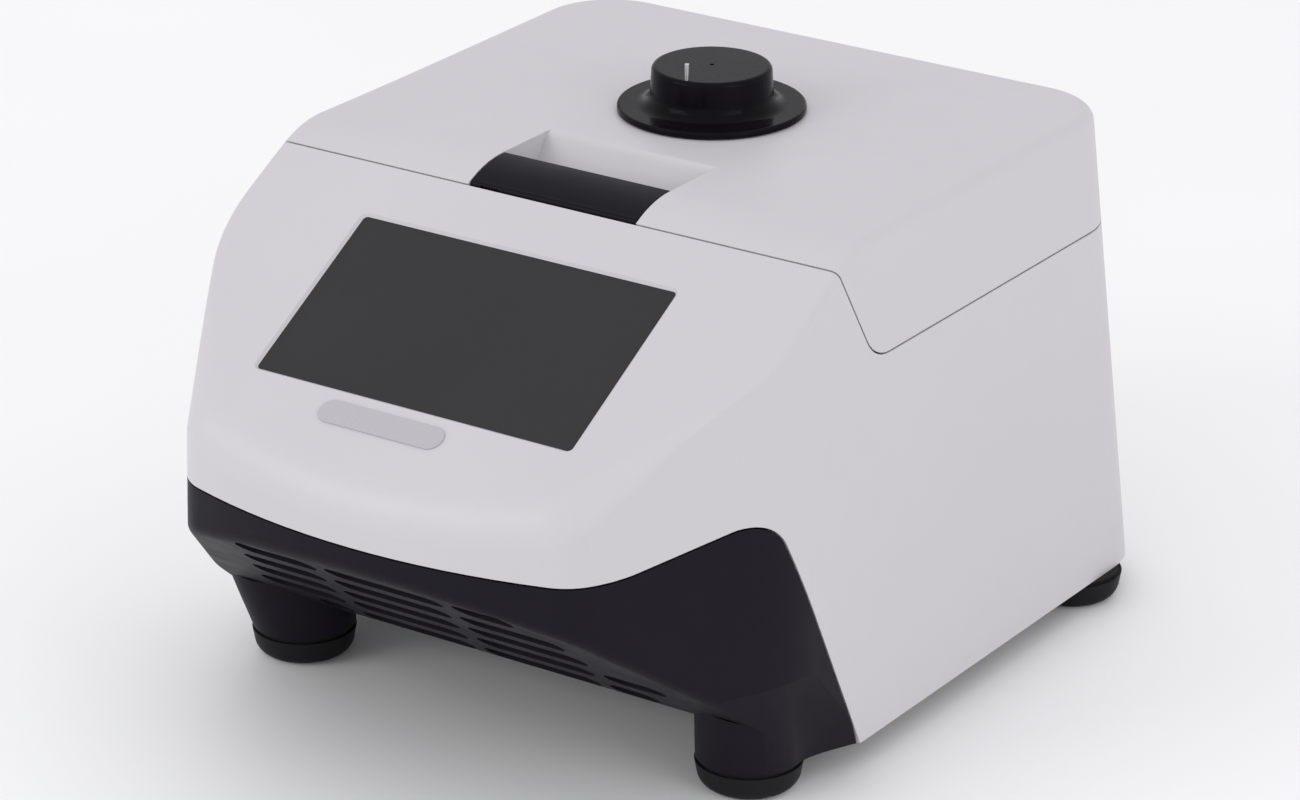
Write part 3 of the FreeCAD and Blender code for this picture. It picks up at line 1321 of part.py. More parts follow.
def make_rocker():
    deep, half = dim("rocker_deep"), dim("rocker_tall") / 2 * 0.95
    front = deep * 0.6 + 0.2
    drop = half * math.tan(math.radians(dim("rocker_angle")))
    side_on = [(front, 0, 6), (front - drop, half, 1), (-0.5, half * 0.8, 0), (-deep / 4, 0, 0),
               (-0.5, -half * 0.8, 0), (front - drop, -half, 1)]
    wide = dim("rocker_wide") / 2
    rocker = across(outline(side_on), -wide, wide)
    pin_half = wide + dim("inlet_wall")
    axle = Part.makeCylinder(dim("screw_radius") * 0.75, 2 * pin_half, Vector(-pin_half, 0, 0),
                             Vector(1, 0, 0))
    rocker = rocker.fuse(axle)
    rocker.rotate(Vector(0, 0, 0), Vector(1, 0, 0), -dim("rocker_angle"))
    rocker.translate(Vector(dim("switch_x"), dim("inlet_wall") - wall - deep * 0.6, 0))
    return on_back(rocker, dim("rear_level"))


shaped("power_rocker", make_rocker())

# lid hinges: steel leaves on the back walls with knuckles in line, and their pins
HINGE = ("0", "back_reach - (seam_level - foot_tall) * tan(back_lean)", "seam_level")
leaf_y = "-wall - fit - leaf_thick / 2"
arm_deep = "wall + fit + leaf_thick + hinge_out"
arm_low = "(knuckle_radius - leaf_thick) * 0.6"


def hinge_half(name, x, knuckles, wide, up):
    """One half of a hinge: its knuckles (place, length), their arms and the leaf."""
    parts, bores = [], []
    for offset, long in knuckles:
        start = (f"{x} + {offset} - ({long}) / 2", "hinge_out", "0")
        parts.append(rod(name + "_knuckle", "knuckle_radius", long, start, "x"))
        bores.append(rod(name + "_bore", "hinge_pin_radius + shaft_gap", long, start, "x"))
        low = arm_low if up else f"-{arm_low} - leaf_thick"
        parts.append(block(name + "_arm", (long, arm_deep, "leaf_thick"),
                           (f"{x} + {offset}", f"hinge_out - ({arm_deep}) / 2", low)))
    low = arm_low if up else "-leaf_tall"
    parts.append(block(name + "_leaf", (wide, "leaf_thick", f"leaf_tall - {arm_low}"), (x, leaf_y, low)))
    return cut(name, join(name + "_whole", parts), bores)


brackets, leaves, hinge_pins = [], [], []
for x in ("-hinge_x", "hinge_x"):
    brackets.append(hinge_half("bracket", x, [("0", "hinge_long / 2 - fit")], "hinge_long / 2 - fit", False))
    outer = [(f"{sign} * hinge_long * 3 / 8", "hinge_long / 4 - fit") for sign in ("-1", "1")]
    leaves.append(hinge_half("leaf", x, outer, "hinge_long - fit", True))
    hinge_pins.append(rod("hinge_pin", "hinge_pin_radius", "hinge_long",
                          (f"{x} - hinge_long / 2", "hinge_out", "0"), "x"))
piece(leaned(group("hinge_brackets", brackets), HINGE, "back_lean"), "hinge_brackets")
piece(leaned(group("hinge_leaves", leaves), HINGE, "back_lean"), "hinge_leaves")
piece(leaned(group("hinge_pins", hinge_pins), HINGE, "back_lean"), "hinge_pins")


# latch: a curved black handle on a pin, a steel hook below it, and the striker it catches
def make_handle():
    radius, thick, nose = dim("lid_front_round"), dim("handle_thick"), dim("handle_nose")
    half = dim("handle_half_wide")

    def on_arc(distance, angle):
        return Vector(distance * math.sin(angle), distance * math.cos(angle) - radius, 0)

    first = math.asin(pivot_y / radius)
    last = math.radians(dim("handle_sweep"))
    mid = (first + last) / 2
    outer_arc = Part.Arc(on_arc(radius, first), on_arc(radius, mid), on_arc(radius, last)).toShape()
    end_tip = on_arc(radius - thick / 2, last) + Vector(math.cos(last), -math.sin(last), 0) * (thick / 2)
    end_arc = Part.Arc(on_arc(radius, last), end_tip, on_arc(radius - thick, last)).toShape()
    inner_arc = Part.Arc(on_arc(radius - thick, last), on_arc(radius - thick, mid),
                         on_arc(radius - thick, first)).toShape()
    start_line = Part.makeLine(on_arc(radius - thick, first), on_arc(radius, first))
    flap = across(Part.Face(Part.Wire([outer_arc, end_arc, inner_arc, start_line])), -half, half)
    barrel = Part.makeCylinder(nose, 2 * half, Vector(-half, pivot_y, pivot_z), Vector(1, 0, 0))
    bore = Part.makeCylinder(dim("latch_pin_radius") + dim("shaft_gap"), 2 * half,
                             Vector(-half, pivot_y, pivot_z), Vector(1, 0, 0))
    spring_gap = box((dim("spring_x"), dim("spring_x") + dim("spring_long") + 2 * dim("spring_gap")),
                     (-nose, pivot_y + nose + dim("spring_gap")), (-3 * nose, -nose / 5))
    return flap.fuse(barrel).cut([bore, spring_gap])


handle = make_handle()
shaped("latch_handle", on_panel(handle))


def make_hook():
    thick, long = dim("hook_thick"), dim("hook_long")
    back = pivot_y + dim("handle_nose") + thick
    low = pivot_z - long
    high = low + dim("hook_nose_tall")
    tip = -gap / 2 - dim("cover_gap") - dim("cover_wall") - dim("striker_thick") + fit
    side_on = [(back - thick, pivot_z - fit, 0), (back, pivot_z - fit, 0), (back, low, 1),
               (tip + thick, low, 0), (tip, low + thick / 2, 0), (tip, high, 0), (back - thick, high, 0)]
    return across(outline(side_on), -hook_half, hook_half).cut(handle)


shaped("latch_hook", on_panel(make_hook()))
striker_face = -gap / 2 - dim("cover_gap") - dim("cover_wall")
striker_low = pivot_z - dim("hook_long") + dim("hook_nose_tall") + fit
striker = box((-dim("striker_wide") / 2, dim("striker_wide") / 2),
              (striker_face - dim("striker_thick"), striker_face),
              (striker_low, striker_low + dim("striker_tall")))
shaped("latch_striker", on_panel(striker))
pin_half = dim("handle_half_wide") + dim("recess_gap") + wall - 1
shaped("latch_pin", on_panel(Part.makeCylinder(dim("latch_pin_radius"), 2 * pin_half,
                                               Vector(-pin_half, pivot_y, pivot_z), Vector(1, 0, 0))))


def make_spring():
    """A wound spring round the latch pin, with one leg on the shelf below."""
    wire = dim("spring_wire")
    coil_radius = dim("latch_pin_radius") + wire + fit / 3
    helix = Part.makeHelix(dim("spring_long") / dim("spring_turns"), dim("spring_long"), coil_radius)
    circle = Part.Wire(Part.makeCircle(wire, Vector(coil_radius, 0, 0), Vector(0, 1, 0)))
    coil = Part.Wire(helix).makePipeShell([circle], True, True)
    leg = Part.makeCylinder(wire, dim("spring_leg"), Vector(coil_radius, 0, 0), Vector(0, -1, 0))
    spring = coil.fuse(leg)
    spring.rotate(Vector(0, 0, 0), Vector(0, 1, 0), 90)
    spring.translate(Vector(dim("spring_x") + dim("spring_gap"), pivot_y, pivot_z))
    return on_panel(spring)


shaped("latch_spring", make_spring())

# knob: a brimmed plastic cap with a small steel pin on its top, fixed to the spindle
knob_low = "lid_top + knob_gap"
brim = rod("knob_brim", "knob_rim_radius", "knob_rim_thick", ("0", "block_y", knob_low))
cap = primitive("Cone", "knob_cap", {"Radius1": "knob_foot_radius", "Radius2": "knob_top_radius",
                                     "Height": f"knob_top - ({knob_low})"}, ("0", "block_y", knob_low))
knob_sharp = join("knob_sharp", [brim, cap])
doc.recompute()
knob_soft = doc.addObject("Part::Fillet", "knob_soft")
knob_soft.Base = knob_sharp
knob_edges = []
brim_top = lid_top + dim("knob_gap") + dim("knob_rim_thick")
for number, edge in enumerate(knob_sharp.Shape.Edges, start=1):
    flat = edge.BoundBox.ZLength < 0.01
    level = edge.BoundBox.ZMax
    reach = edge.BoundBox.XLength / 2
    if flat and abs(level - dim("knob_top")) < 0.01:
        knob_edges.append((number, dim("knob_edge"), dim("knob_edge")))
    elif flat and abs(level - brim_top) < 0.01 and reach < dim("knob_rim_radius") - 1:
        knob_edges.append((number, dim("knob_fillet"), dim("knob_fillet")))
    elif flat and abs(level - brim_top) < 0.01:
        knob_edges.append((number, dim("knob_rim_thick") * 0.4, dim("knob_rim_thick") * 0.4))
knob_soft.Edges = knob_edges
spindle_top = "knob_top - knob_rim_thick * 2"
spindle_long = f"{spindle_top} - spindle_low"
knob_bore = rod("knob_bore", "spindle_radius + shaft_gap", spindle_long, ("0", "block_y", "spindle_low"))
dimple = rod("knob_dimple", "knob_pin_radius", "knob_pin_radius",
             ("0", "block_y", "knob_top - knob_pin_radius / 2"))
pin_at = ("knob_pin_x", "block_y + knob_pin_back", "knob_top - knob_pin_long")
pin_hole = rod("knob_pin_hole", "knob_pin_radius + shaft_gap", "2 * knob_pin_long", pin_at)
piece(cut("knob_cut", knob_soft, [knob_bore, dimple, pin_hole]), "knob")
piece(rod("knob_pin_rod", "knob_pin_radius", "2 * knob_pin_long", pin_at), "knob_pin")
piece(rod("spindle_rod", "spindle_radius", spindle_long, ("0", "block_y", "spindle_low")), "spindle")

# spindle bush: a flanged brass tube in the lid
bush_low = "lid_top - wall - bush_flange_thick"
bush_tube = rod("bush_tube", "spindle_radius + shaft_gap + bush_wall", "wall + bush_flange_thick",
                ("0", "block_y", bush_low))
bush_rim = rod("bush_rim", "spindle_radius + shaft_gap + bush_wall + bush_flange", "bush_flange_thick",
               ("0", "block_y", bush_low))
bush_bore = rod("bush_bore", "spindle_radius + shaft_gap", "lid_top", ("0", "block_y", "0"))
piece(cut("bush_cut", join("bush_whole", [bush_tube, bush_rim]), [bush_bore]), "spindle_bush")

# heated plate: hot plate, heater mat and insulation under a steel carrier that the spindle's nut
# drives down four guide posts
mat_low = "plate_low + hot_thick"
insulation_low = f"{mat_low} + mat_thick"
carrier_low = f"{insulation_low} + insulation_thick"
nut_low = f"{carrier_low} + carrier_thick"
centre = ("0", "block_y")
plate_size = ("plate_wide", "plate_deep")
piece(block("hot_slab", plate_size + ("hot_thick",), centre + ("plate_low",)), "hot_plate")
spindle_room = rod("spindle_room", "spindle_radius + 4 * fit", "lid_top", centre + (mat_low,))
piece(block("mat_slab", ("plate_wide - 2", "plate_deep - 2", "mat_thick"), centre + (mat_low,)), "heater_mat")
foam = block("insulation_raw", plate_size + ("insulation_thick",), centre + (insulation_low,))
piece(cut("insulation_cut", foam, [spindle_room]), "plate_insulation")
carrier = block("carrier_raw", ("carrier_wide", "plate_deep", "carrier_thick"), centre + (carrier_low,))
post_bores, posts = [], []
for x in ("-", ""):
    for y in ("-", "+"):
        at = (x + "post_x", f"block_y {y} post_y", "post_low")
        post_bores.append(rod("post_bore", "post_radius + 2 * shaft_gap", "lid_top", at))
        posts.append(rod("post", "post_radius", "lid_top - wall - post_low", at))
carrier_room = rod("carrier_room", "spindle_radius + 4 * fit", "lid_top", centre + (mat_low,))
piece(cut("carrier_cut", carrier, [carrier_room] + post_bores), "plate_carrier")
piece(group("guide_posts", posts), "guide_posts")
nut = rod("nut_raw", "nut_radius", "nut_tall", centre + (nut_low,))
nut_bore = rod("nut_bore", "spindle_radius + shaft_gap", "lid_top", centre + ("0",))
piece(cut("nut_cut", nut, [nut_bore]), "spindle_nut")

# every sub-part is checked and written
doc.recompute()
failed = [item.Name for item in doc.Objects if "Invalid" in item.State or "Error" in item.State]
if failed:
    raise ValueError("failed objects: " + ", ".join(failed))
os.makedirs("parts", exist_ok=True)
for item in nodes:
    if item.Shape.isNull() or not item.Shape.isValid() or not item.Shape.Solids:
        raise ValueError("bad shape: " + item.Label)
    item.Shape.exportStep(os.path.join("parts", item.Label + ".step"))
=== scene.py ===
import math
import bmesh
import bpy
from mathutils import Matrix, Vector


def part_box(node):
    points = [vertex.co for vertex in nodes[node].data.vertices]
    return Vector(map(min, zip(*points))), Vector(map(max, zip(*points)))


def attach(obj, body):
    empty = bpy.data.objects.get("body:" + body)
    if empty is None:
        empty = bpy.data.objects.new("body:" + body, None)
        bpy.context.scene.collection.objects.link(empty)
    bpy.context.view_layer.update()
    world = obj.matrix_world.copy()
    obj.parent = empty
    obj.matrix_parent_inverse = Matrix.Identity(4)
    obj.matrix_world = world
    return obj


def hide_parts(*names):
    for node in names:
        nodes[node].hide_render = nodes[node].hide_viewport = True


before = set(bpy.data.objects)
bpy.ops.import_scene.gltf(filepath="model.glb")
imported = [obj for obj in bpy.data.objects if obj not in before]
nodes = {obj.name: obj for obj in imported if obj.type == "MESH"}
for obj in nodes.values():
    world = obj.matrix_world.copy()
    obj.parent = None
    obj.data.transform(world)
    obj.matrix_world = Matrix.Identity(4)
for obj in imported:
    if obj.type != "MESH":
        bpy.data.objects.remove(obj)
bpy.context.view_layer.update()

# A bench-top thermal cycler on a pale table. Each section below dresses one piece or group of
# like pieces, from the moulded shells inwards; the table, camera and lights come last.


# Outer shells: the casing and the lid cover are injection moulded in a white plastic with a
# fine spark-eroded texture and a satin sheen, and they meet in one thin seam.
NOISE_LOW = 0.3
NOISE_HIGH = 0.7


def new_material(name):
    """An empty material with its shader and a coordinate node in the instrument's own metres."""
    material = bpy.data.materials.new(name)
    material.use_nodes = True
    tree = material.node_tree
    shader = tree.nodes["Principled BSDF"]
    place = tree.nodes.new("ShaderNodeTexCoord")
    return material, tree, shader, place.outputs["Object"]


def noise(tree, place, scale, detail, stretch=None):
    """A noise texture; stretch squeezes it along the instrument's axes."""
    if stretch:
        mapping = tree.nodes.new("ShaderNodeMapping")
        mapping.inputs["Scale"].default_value = stretch
        tree.links.new(place, mapping.inputs["Vector"])
        place = mapping.outputs["Vector"]
    texture = tree.nodes.new("ShaderNodeTexNoise")
    texture.inputs["Scale"].default_value = scale
    texture.inputs["Detail"].default_value = detail
    tree.links.new(place, texture.inputs["Vector"])
    return texture.outputs["Fac"]


def spread(tree, value, low, high, start=NOISE_LOW, end=NOISE_HIGH):
    """Maps the part of a texture's values between start and end to a range."""
    ranged = tree.nodes.new("ShaderNodeMapRange")
    ranged.inputs["From Min"].default_value = start
    ranged.inputs["From Max"].default_value = end
    ranged.inputs["To Min"].default_value = low
    ranged.inputs["To Max"].default_value = high
    tree.links.new(value, ranged.inputs["Value"])
    return ranged.outputs["Result"]


def tinted(tree, value, dark, pale):
    """A colour between two, chosen by a texture's value."""
    ramp = tree.nodes.new("ShaderNodeValToRGB")
    ramp.color_ramp.elements[0].position = NOISE_LOW
    ramp.color_ramp.elements[0].color = (*dark, 1)
    ramp.color_ramp.elements[1].position = NOISE_HIGH
    ramp.color_ramp.elements[1].color = (*pale, 1)
    tree.links.new(value, ramp.inputs["Fac"])
    return ramp.outputs["Color"]


def bumped(tree, shader, value, depth, strength=1.0):
    """Gives a finish the relief of a texture, with its real depth in metres."""
    bump = tree.nodes.new("ShaderNodeBump")
    bump.inputs["Strength"].default_value = strength
    bump.inputs["Distance"].default_value = depth
    tree.links.new(value, bump.inputs["Height"])
    tree.links.new(bump.outputs["Normal"], shader.inputs["Normal"])


def moulded(name, dark, pale, rough, grain=1400, depth=0.00002, gleam=0.5):
    """Moulded plastic: faint drift of colour and gloss, and a fine eroded texture."""
    material, tree, shader, place = new_material(name)
    drift = noise(tree, place, scale=9, detail=3)
    tree.links.new(tinted(tree, drift, dark, pale), shader.inputs["Base Color"])
    cloud = noise(tree, place, scale=55, detail=4)
    tree.links.new(spread(tree, cloud, *rough), shader.inputs["Roughness"])
    bumped(tree, shader, noise(tree, place, grain, detail=2), depth)
    shader.inputs["Specular IOR Level"].default_value = gleam
    return material


def dress(material, *names):
    """Gives a finish to nodes of the frame."""
    for name in names:
        nodes[name].data.materials.clear()
        nodes[name].data.materials.append(material)


casing_white = moulded("casing_white", dark=(0.556, 0.538, 0.564), pale=(0.570, 0.552, 0.578),
                       rough=(0.36, 0.44), gleam=0.35)
dress(casing_white, "main_casing", "lid_cover")

# Inner linings: the deck and the lid tray are the same plastic without the outer polish, so
# they are a little duller and more yellow than the shells.
lining_white = moulded("lining_white", dark=(0.625, 0.595, 0.622), pale=(0.650, 0.620, 0.646),
                       rough=(0.48, 0.58), grain=900)
dress(lining_white, "deck_cover", "lid_tray")

# Front base: one black moulding with a dense fine grain, a soft sheen on its lip and rows of
# air slots under the belly.
base_black = moulded("base_black", dark=(0.0082, 0.0067, 0.0116), pale=(0.0102, 0.0085, 0.0138),
                     rough=(0.42, 0.52), grain=2200, depth=0.00004, gleam=0.09)
dress(base_black, "front_base")

# Rubber feet: moulded in a matte black rubber with a fine dust in its grain, and each held by a
# screw from below. The spacers over the rear pair have the same finish.
foot_rubber = moulded("foot_rubber", dark=(0.0090, 0.0086, 0.0100), pale=(0.0130, 0.0124, 0.0140),
                      rough=(0.50, 0.66), grain=1500, depth=0.00005, gleam=0.12)
dress(foot_rubber, "foot_front_left", "foot_front_right", "foot_rear_left", "foot_rear_right",
      "foot_spacers")

# Screen: matte etched glass over a dark display, slightly paler in slow clouds. It lies in the
# bevelled window of the casing's front panel.
screen_glass, tree, shader, place = new_material("screen_glass")
clouds = noise(tree, place, scale=14, detail=2)
etching = noise(tree, place, scale=320, detail=3)
screen_tint = tinted(tree, clouds, dark=(0.0245, 0.0236, 0.0262), pale=(0.0265, 0.0256, 0.0284))
tree.links.new(screen_tint, shader.inputs["Base Color"])
tree.links.new(spread(tree, etching, low=0.42, high=0.50), shader.inputs["Roughness"])
bumped(tree, shader, noise(tree, place, scale=5200, detail=1), depth=0.000004)
shader.inputs["Specular IOR Level"].default_value = 0.20
dress(screen_glass, "touch_glass")

# Badge: a bare pill of pale grey film with a faint metallic grain. It is pressed on to the front
# panel below the screen.
badge_film, tree, shader, place = new_material("badge_film")
grain = noise(tree, place, scale=900, detail=2, stretch=(1, 6, 6))
badge_tint = tinted(tree, grain, dark=(0.438, 0.418, 0.448), pale=(0.490, 0.468, 0.498))
tree.links.new(badge_tint, shader.inputs["Base Color"])
tree.links.new(spread(tree, grain, low=0.30, high=0.42), shader.inputs["Roughness"])
bumped(tree, shader, grain, depth=0.000006)
shader.inputs["Metallic"].default_value = 0.15
dress(badge_film, "badge_plate")

# Latch handle: a curved bar of satin black plastic in a recess of the lid, a little paler
# in slow random drifts. It turns on a pin in the lid.
handle_black = moulded("handle_black", dark=(0.0060, 0.0052, 0.0084), pale=(0.0082, 0.0072, 0.0108),
                       rough=(0.34, 0.44), grain=1700, depth=0.00002, gleam=0.07)
dress(handle_black, "latch_handle")

# Knob: polished black plastic turned on its axis, with fine scuffs running round and down it.
# It sits on the spindle that drives the heated plate.
knob_low, knob_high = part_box("knob")
knob_middle = (knob_low + knob_high) / 2
knob_black, tree, shader, place = new_material("knob_black")
centring = tree.nodes.new("ShaderNodeVectorMath")
centring.operation = "SUBTRACT"
centring.inputs[1].default_value = knob_middle
tree.links.new(place, centring.inputs[0])
centred = centring.outputs["Vector"]
scuffs = noise(tree, centred, scale=420, detail=5, stretch=(1, 1, 0.22))
blotches = noise(tree, centred, scale=60, detail=3)
knob_tint = tinted(tree, blotches, dark=(0.0044, 0.0037, 0.0054), pale=(0.0070, 0.0061, 0.0082))
knob_gloss = spread(tree, scuffs, low=0.13, high=0.30, start=0.42, end=0.72)
tree.links.new(knob_tint, shader.inputs["Base Color"])
tree.links.new(knob_gloss, shader.inputs["Roughness"])
bumped(tree, shader, scuffs, depth=0.000012, strength=0.6)
shader.inputs["Specular IOR Level"].default_value = 0.045
dress(knob_black, "knob")


# Steel parts: pins, posts and hinges of bright steel, ground or drawn, with fine lines from side
# to side. The spring and the pin of the latch are blued dark.
def metal(name, dark, pale, rough, scale, stretch, depth=0.000006):
    """A bare or plated metal with a directed grain."""
    material, tree, shader, place = new_material(name)
    grain = noise(tree, place, scale, detail=3, stretch=stretch)
    tree.links.new(tinted(tree, grain, dark, pale), shader.inputs["Base Color"])
    tree.links.new(spread(tree, grain, *rough), shader.inputs["Roughness"])
    bumped(tree, shader, grain, depth)
    shader.inputs["Metallic"].default_value = 1.0
    return material


bright_steel = metal("bright_steel", dark=(0.54, 0.54, 0.55), pale=(0.66, 0.66, 0.67),
                     rough=(0.20, 0.32), scale=600, stretch=(1, 12, 12))
dress(bright_steel, "knob_pin", "spindle", "guide_posts", "latch_hook", "hinge_pins", "hinge_leaves",
      "hinge_brackets", "latch_striker", "inlet_pins")
blued_steel = metal("blued_steel", dark=(0.020, 0.020, 0.024), pale=(0.035, 0.035, 0.040),
                    rough=(0.40, 0.52), scale=500, stretch=(6, 6, 6))
dress(blued_steel, "latch_spring", "latch_pin")

# Screws: plated steel cap screws with an eased rim and a cross recess pressed into each head.
# They hold the base plate, the deck, the lid tray, the rear panel and the rubber feet. The rim's
# and the recess's values are shares of a head's radius or height.
SCREW_SIZES = ("Head radius", "Head height", "Shank radius", "Shank length")
BODY_SCREW = (0.0038, 0.0022, 0.002, 0.0118)
FOOT_SCREW = (0.0038, 0.0022, 0.002, 0.0195)
PANEL_SCREW = (0.003, 0.0018, 0.0015, 0.0072)
HEAD_SIDES = 32
HEAD_BANDS = 3
SHANK_SIDES = 20
RIM_LEVEL = 0.4
RIM_SHARE = 0.80
RECESS_LONG = 1.15
RECESS_WIDE = 0.30
RECESS_LEVEL = 0.55
WELD_GAP = 1e-6
FACE_GAP = 2e-5
UPWARDS = Vector((0, 0, 1))
DOWNWARDS = Vector((0, 0, -1))
PANEL_LEAN = math.radians(7.15)
PANEL_OUT = Vector((0, math.cos(PANEL_LEAN), math.sin(PANEL_LEAN)))

screw_steel = metal("screw_steel", dark=(0.50, 0.50, 0.51), pale=(0.62, 0.62, 0.62),
                    rough=(0.25, 0.38), scale=400, stretch=(3, 3, 3))
screw_tree = bpy.data.node_groups.new("cap_screws", "GeometryNodeTree")


def socket(word, kind, way="INPUT"):
    """Adds an input or output to the screws' tree."""
    screw_tree.interface.new_socket(word, in_out=way, socket_type="NodeSocket" + kind)


def step(kind, links, **settings):
    """One node of the screws' tree, with its settings, its values and what feeds it."""
    made = screw_tree.nodes.new(kind)
    for word, value in settings.items():
        setattr(made, word, value)
    for word, source in links.items():
        if hasattr(source, "is_output"):
            screw_tree.links.new(source, made.inputs[word])
        else:
            made.inputs[word].default_value = source
    return made


def times(value, factor):
    """A value of the tree multiplied by a number."""
    return step("ShaderNodeMath", {0: value, 1: factor}, operation="MULTIPLY").outputs[0]


def lifted(geometry, height):
    """Geometry of the tree moved along the screw's axis."""
    shift = step("ShaderNodeCombineXYZ", {"Z": height}).outputs[0]
    moved = step("GeometryNodeTransform", {"Geometry": geometry, "Translation": shift})
    return moved.outputs["Geometry"]


socket("Places", "Geometry")
for word in SCREW_SIZES:
    socket(word, "Float")
socket("Turn", "Vector")
socket("Finish", "Material")
socket("Screws", "Geometry", "OUTPUT")
given = screw_tree.nodes.new("NodeGroupInput").outputs
blank = step("GeometryNodeMeshCylinder", {"Vertices": HEAD_SIDES, "Side Segments": HEAD_BANDS,
                                          "Radius": given["Head radius"],
                                          "Depth": given["Head height"]})
position = step("GeometryNodeInputPosition", {}).outputs[0]
height = step("ShaderNodeSeparateXYZ", {"Vector": position}).outputs["Z"]
on_rim = step("FunctionNodeCompare", {"A": height, "B": times(given["Head height"], RIM_LEVEL)},
              data_type="FLOAT", operation="GREATER_THAN").outputs[0]
drawn_in = step("ShaderNodeVectorMath", {0: position, 1: (RIM_SHARE, RIM_SHARE, 1.0)},
                operation="MULTIPLY").outputs[0]
head = step("GeometryNodeSetPosition", {"Geometry": blank.outputs["Mesh"], "Selection": on_rim,
                                        "Position": drawn_in})
arm_long = times(given["Head radius"], RECESS_LONG)
arm_wide = times(given["Head radius"], RECESS_WIDE)
cross = step("GeometryNodeMeshBoolean", {}, operation="UNION")
for along, across in ((arm_long, arm_wide), (arm_wide, arm_long)):
    size = step("ShaderNodeCombineXYZ", {"X": along, "Y": across, "Z": given["Head height"]}).outputs[0]
    arm = step("GeometryNodeMeshCube", {"Size": size}).outputs["Mesh"]
    raised_arm = lifted(arm, times(given["Head height"], RECESS_LEVEL))
    screw_tree.links.new(raised_arm, cross.inputs["Mesh 2"])
recessed = step("GeometryNodeMeshBoolean", {"Mesh 1": head.outputs["Geometry"],
                                            "Mesh 2": cross.outputs["Mesh"]}, operation="DIFFERENCE")
sunk_head = lifted(recessed.outputs["Mesh"], times(given["Head height"], -0.5))
shank = step("GeometryNodeMeshCylinder", {"Vertices": SHANK_SIDES, "Radius": given["Shank radius"],
                                          "Depth": given["Shank length"]})
half_long = times(given["Shank length"], -0.5)
shank_drop = step("ShaderNodeMath", {0: half_long, 1: given["Head height"]}, operation="SUBTRACT")
low_shank = lifted(shank.outputs["Mesh"], shank_drop.outputs[0])
whole = step("GeometryNodeJoinGeometry", {})
for portion in (low_shank, sunk_head):
    screw_tree.links.new(portion, whole.inputs["Geometry"])
turned = step("FunctionNodeEulerToRotation", {"Euler": given["Turn"]})
placed = step("GeometryNodeInstanceOnPoints", {"Points": given["Places"],
                                               "Rotation": turned.outputs["Rotation"],
                                               "Instance": whole.outputs["Geometry"]})
solid = step("GeometryNodeRealizeInstances", {"Geometry": placed.outputs["Instances"]})
coated = step("GeometryNodeSetMaterial", {"Geometry": solid.outputs["Geometry"],
                                          "Material": given["Finish"]})
result = screw_tree.nodes.new("NodeGroupOutput")
screw_tree.links.new(coated.outputs["Geometry"], result.inputs["Screws"])


def head_tops(name, outward):
    """The middle of each head's outer face, one for each solid of a node."""
    form = bmesh.new()
    form.from_mesh(nodes[name].data)
    bmesh.ops.remove_doubles(form, verts=form.verts, dist=WELD_GAP)
    form.verts.ensure_lookup_table()
    left = set(range(len(form.verts)))
    tops = []
    while left:
        reached = [left.pop()]
        for index in reached:
            for edge in form.verts[index].link_edges:
                other = edge.other_vert(form.verts[index]).index
                if other in left:
                    left.discard(other)
                    reached.append(other)
        heights = [form.verts[index].co.dot(outward) for index in reached]
        level = max(heights) - FACE_GAP
        face = [form.verts[index].co.copy() for index, height in zip(reached, heights) if height > level]
        tops.append(sum(face, Vector()) / len(face))
    form.free()
    return sorted(tops, key=lambda top: tuple(round(value, 5) for value in top))


def cap_screws(name, body, outward, sizes):
    """Stands cap screws in a node's places; sizes are in metres, in the order of SCREW_SIZES."""
    outward = outward.normalized()
    mesh = bpy.data.meshes.new(name + "_places")
    mesh.from_pydata(head_tops(name, outward), [], [])
    made = bpy.data.objects.new(name + "_set", mesh)
    bpy.context.scene.collection.objects.link(made)
    values = dict(zip(SCREW_SIZES, sizes))
    values["Turn"] = tuple(UPWARDS.rotation_difference(outward).to_euler())
    values["Finish"] = screw_steel
    builder = made.modifiers.new("screws", "NODES")
    builder.node_group = screw_tree
    for item in screw_tree.interface.items_tree:
        if item.in_out == "INPUT" and item.name in values:
            builder[item.identifier] = values[item.name]
    depsgraph = bpy.context.evaluated_depsgraph_get()
    finished = bpy.data.meshes.new_from_object(made.evaluated_get(depsgraph))
    made.modifiers.clear()
    made.data = finished
    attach(made, body)
    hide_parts(name)


cap_screws("base_screws", "root", DOWNWARDS, BODY_SCREW)
cap_screws("deck_screws", "root", UPWARDS, BODY_SCREW)
cap_screws("tray_screws", "lid", DOWNWARDS, BODY_SCREW)
cap_screws("foot_screws", "root", DOWNWARDS, FOOT_SCREW)
cap_screws("rear_screws", "root", PANEL_OUT, PANEL_SCREW)

# Sheet parts: the base plate, the frames and brackets, the supply's case and the data port's
# shell are folded from zinc-plated steel, with the plating's soft mottling.
plated_sheet = metal("plated_sheet", dark=(0.45, 0.46, 0.47), pale=(0.58, 0.58, 0.58),
                     rough=(0.34, 0.48), scale=120, stretch=(1, 1, 1), depth=0.00001)
dress(plated_sheet, "base_plate", "sink_frames", "power_supply", "display_bracket", "plate_carrier",
      "data_port")

# Rear panel: a steel sheet, powder coated pale grey with a light orange-peel skin. Four screws
# hold it in the back of the casing.
panel_coat = moulded("panel_coat", dark=(0.45, 0.45, 0.47), pale=(0.48, 0.48, 0.50),
                     rough=(0.42, 0.52), grain=700, depth=0.00006)
dress(panel_coat, "rear_panel")

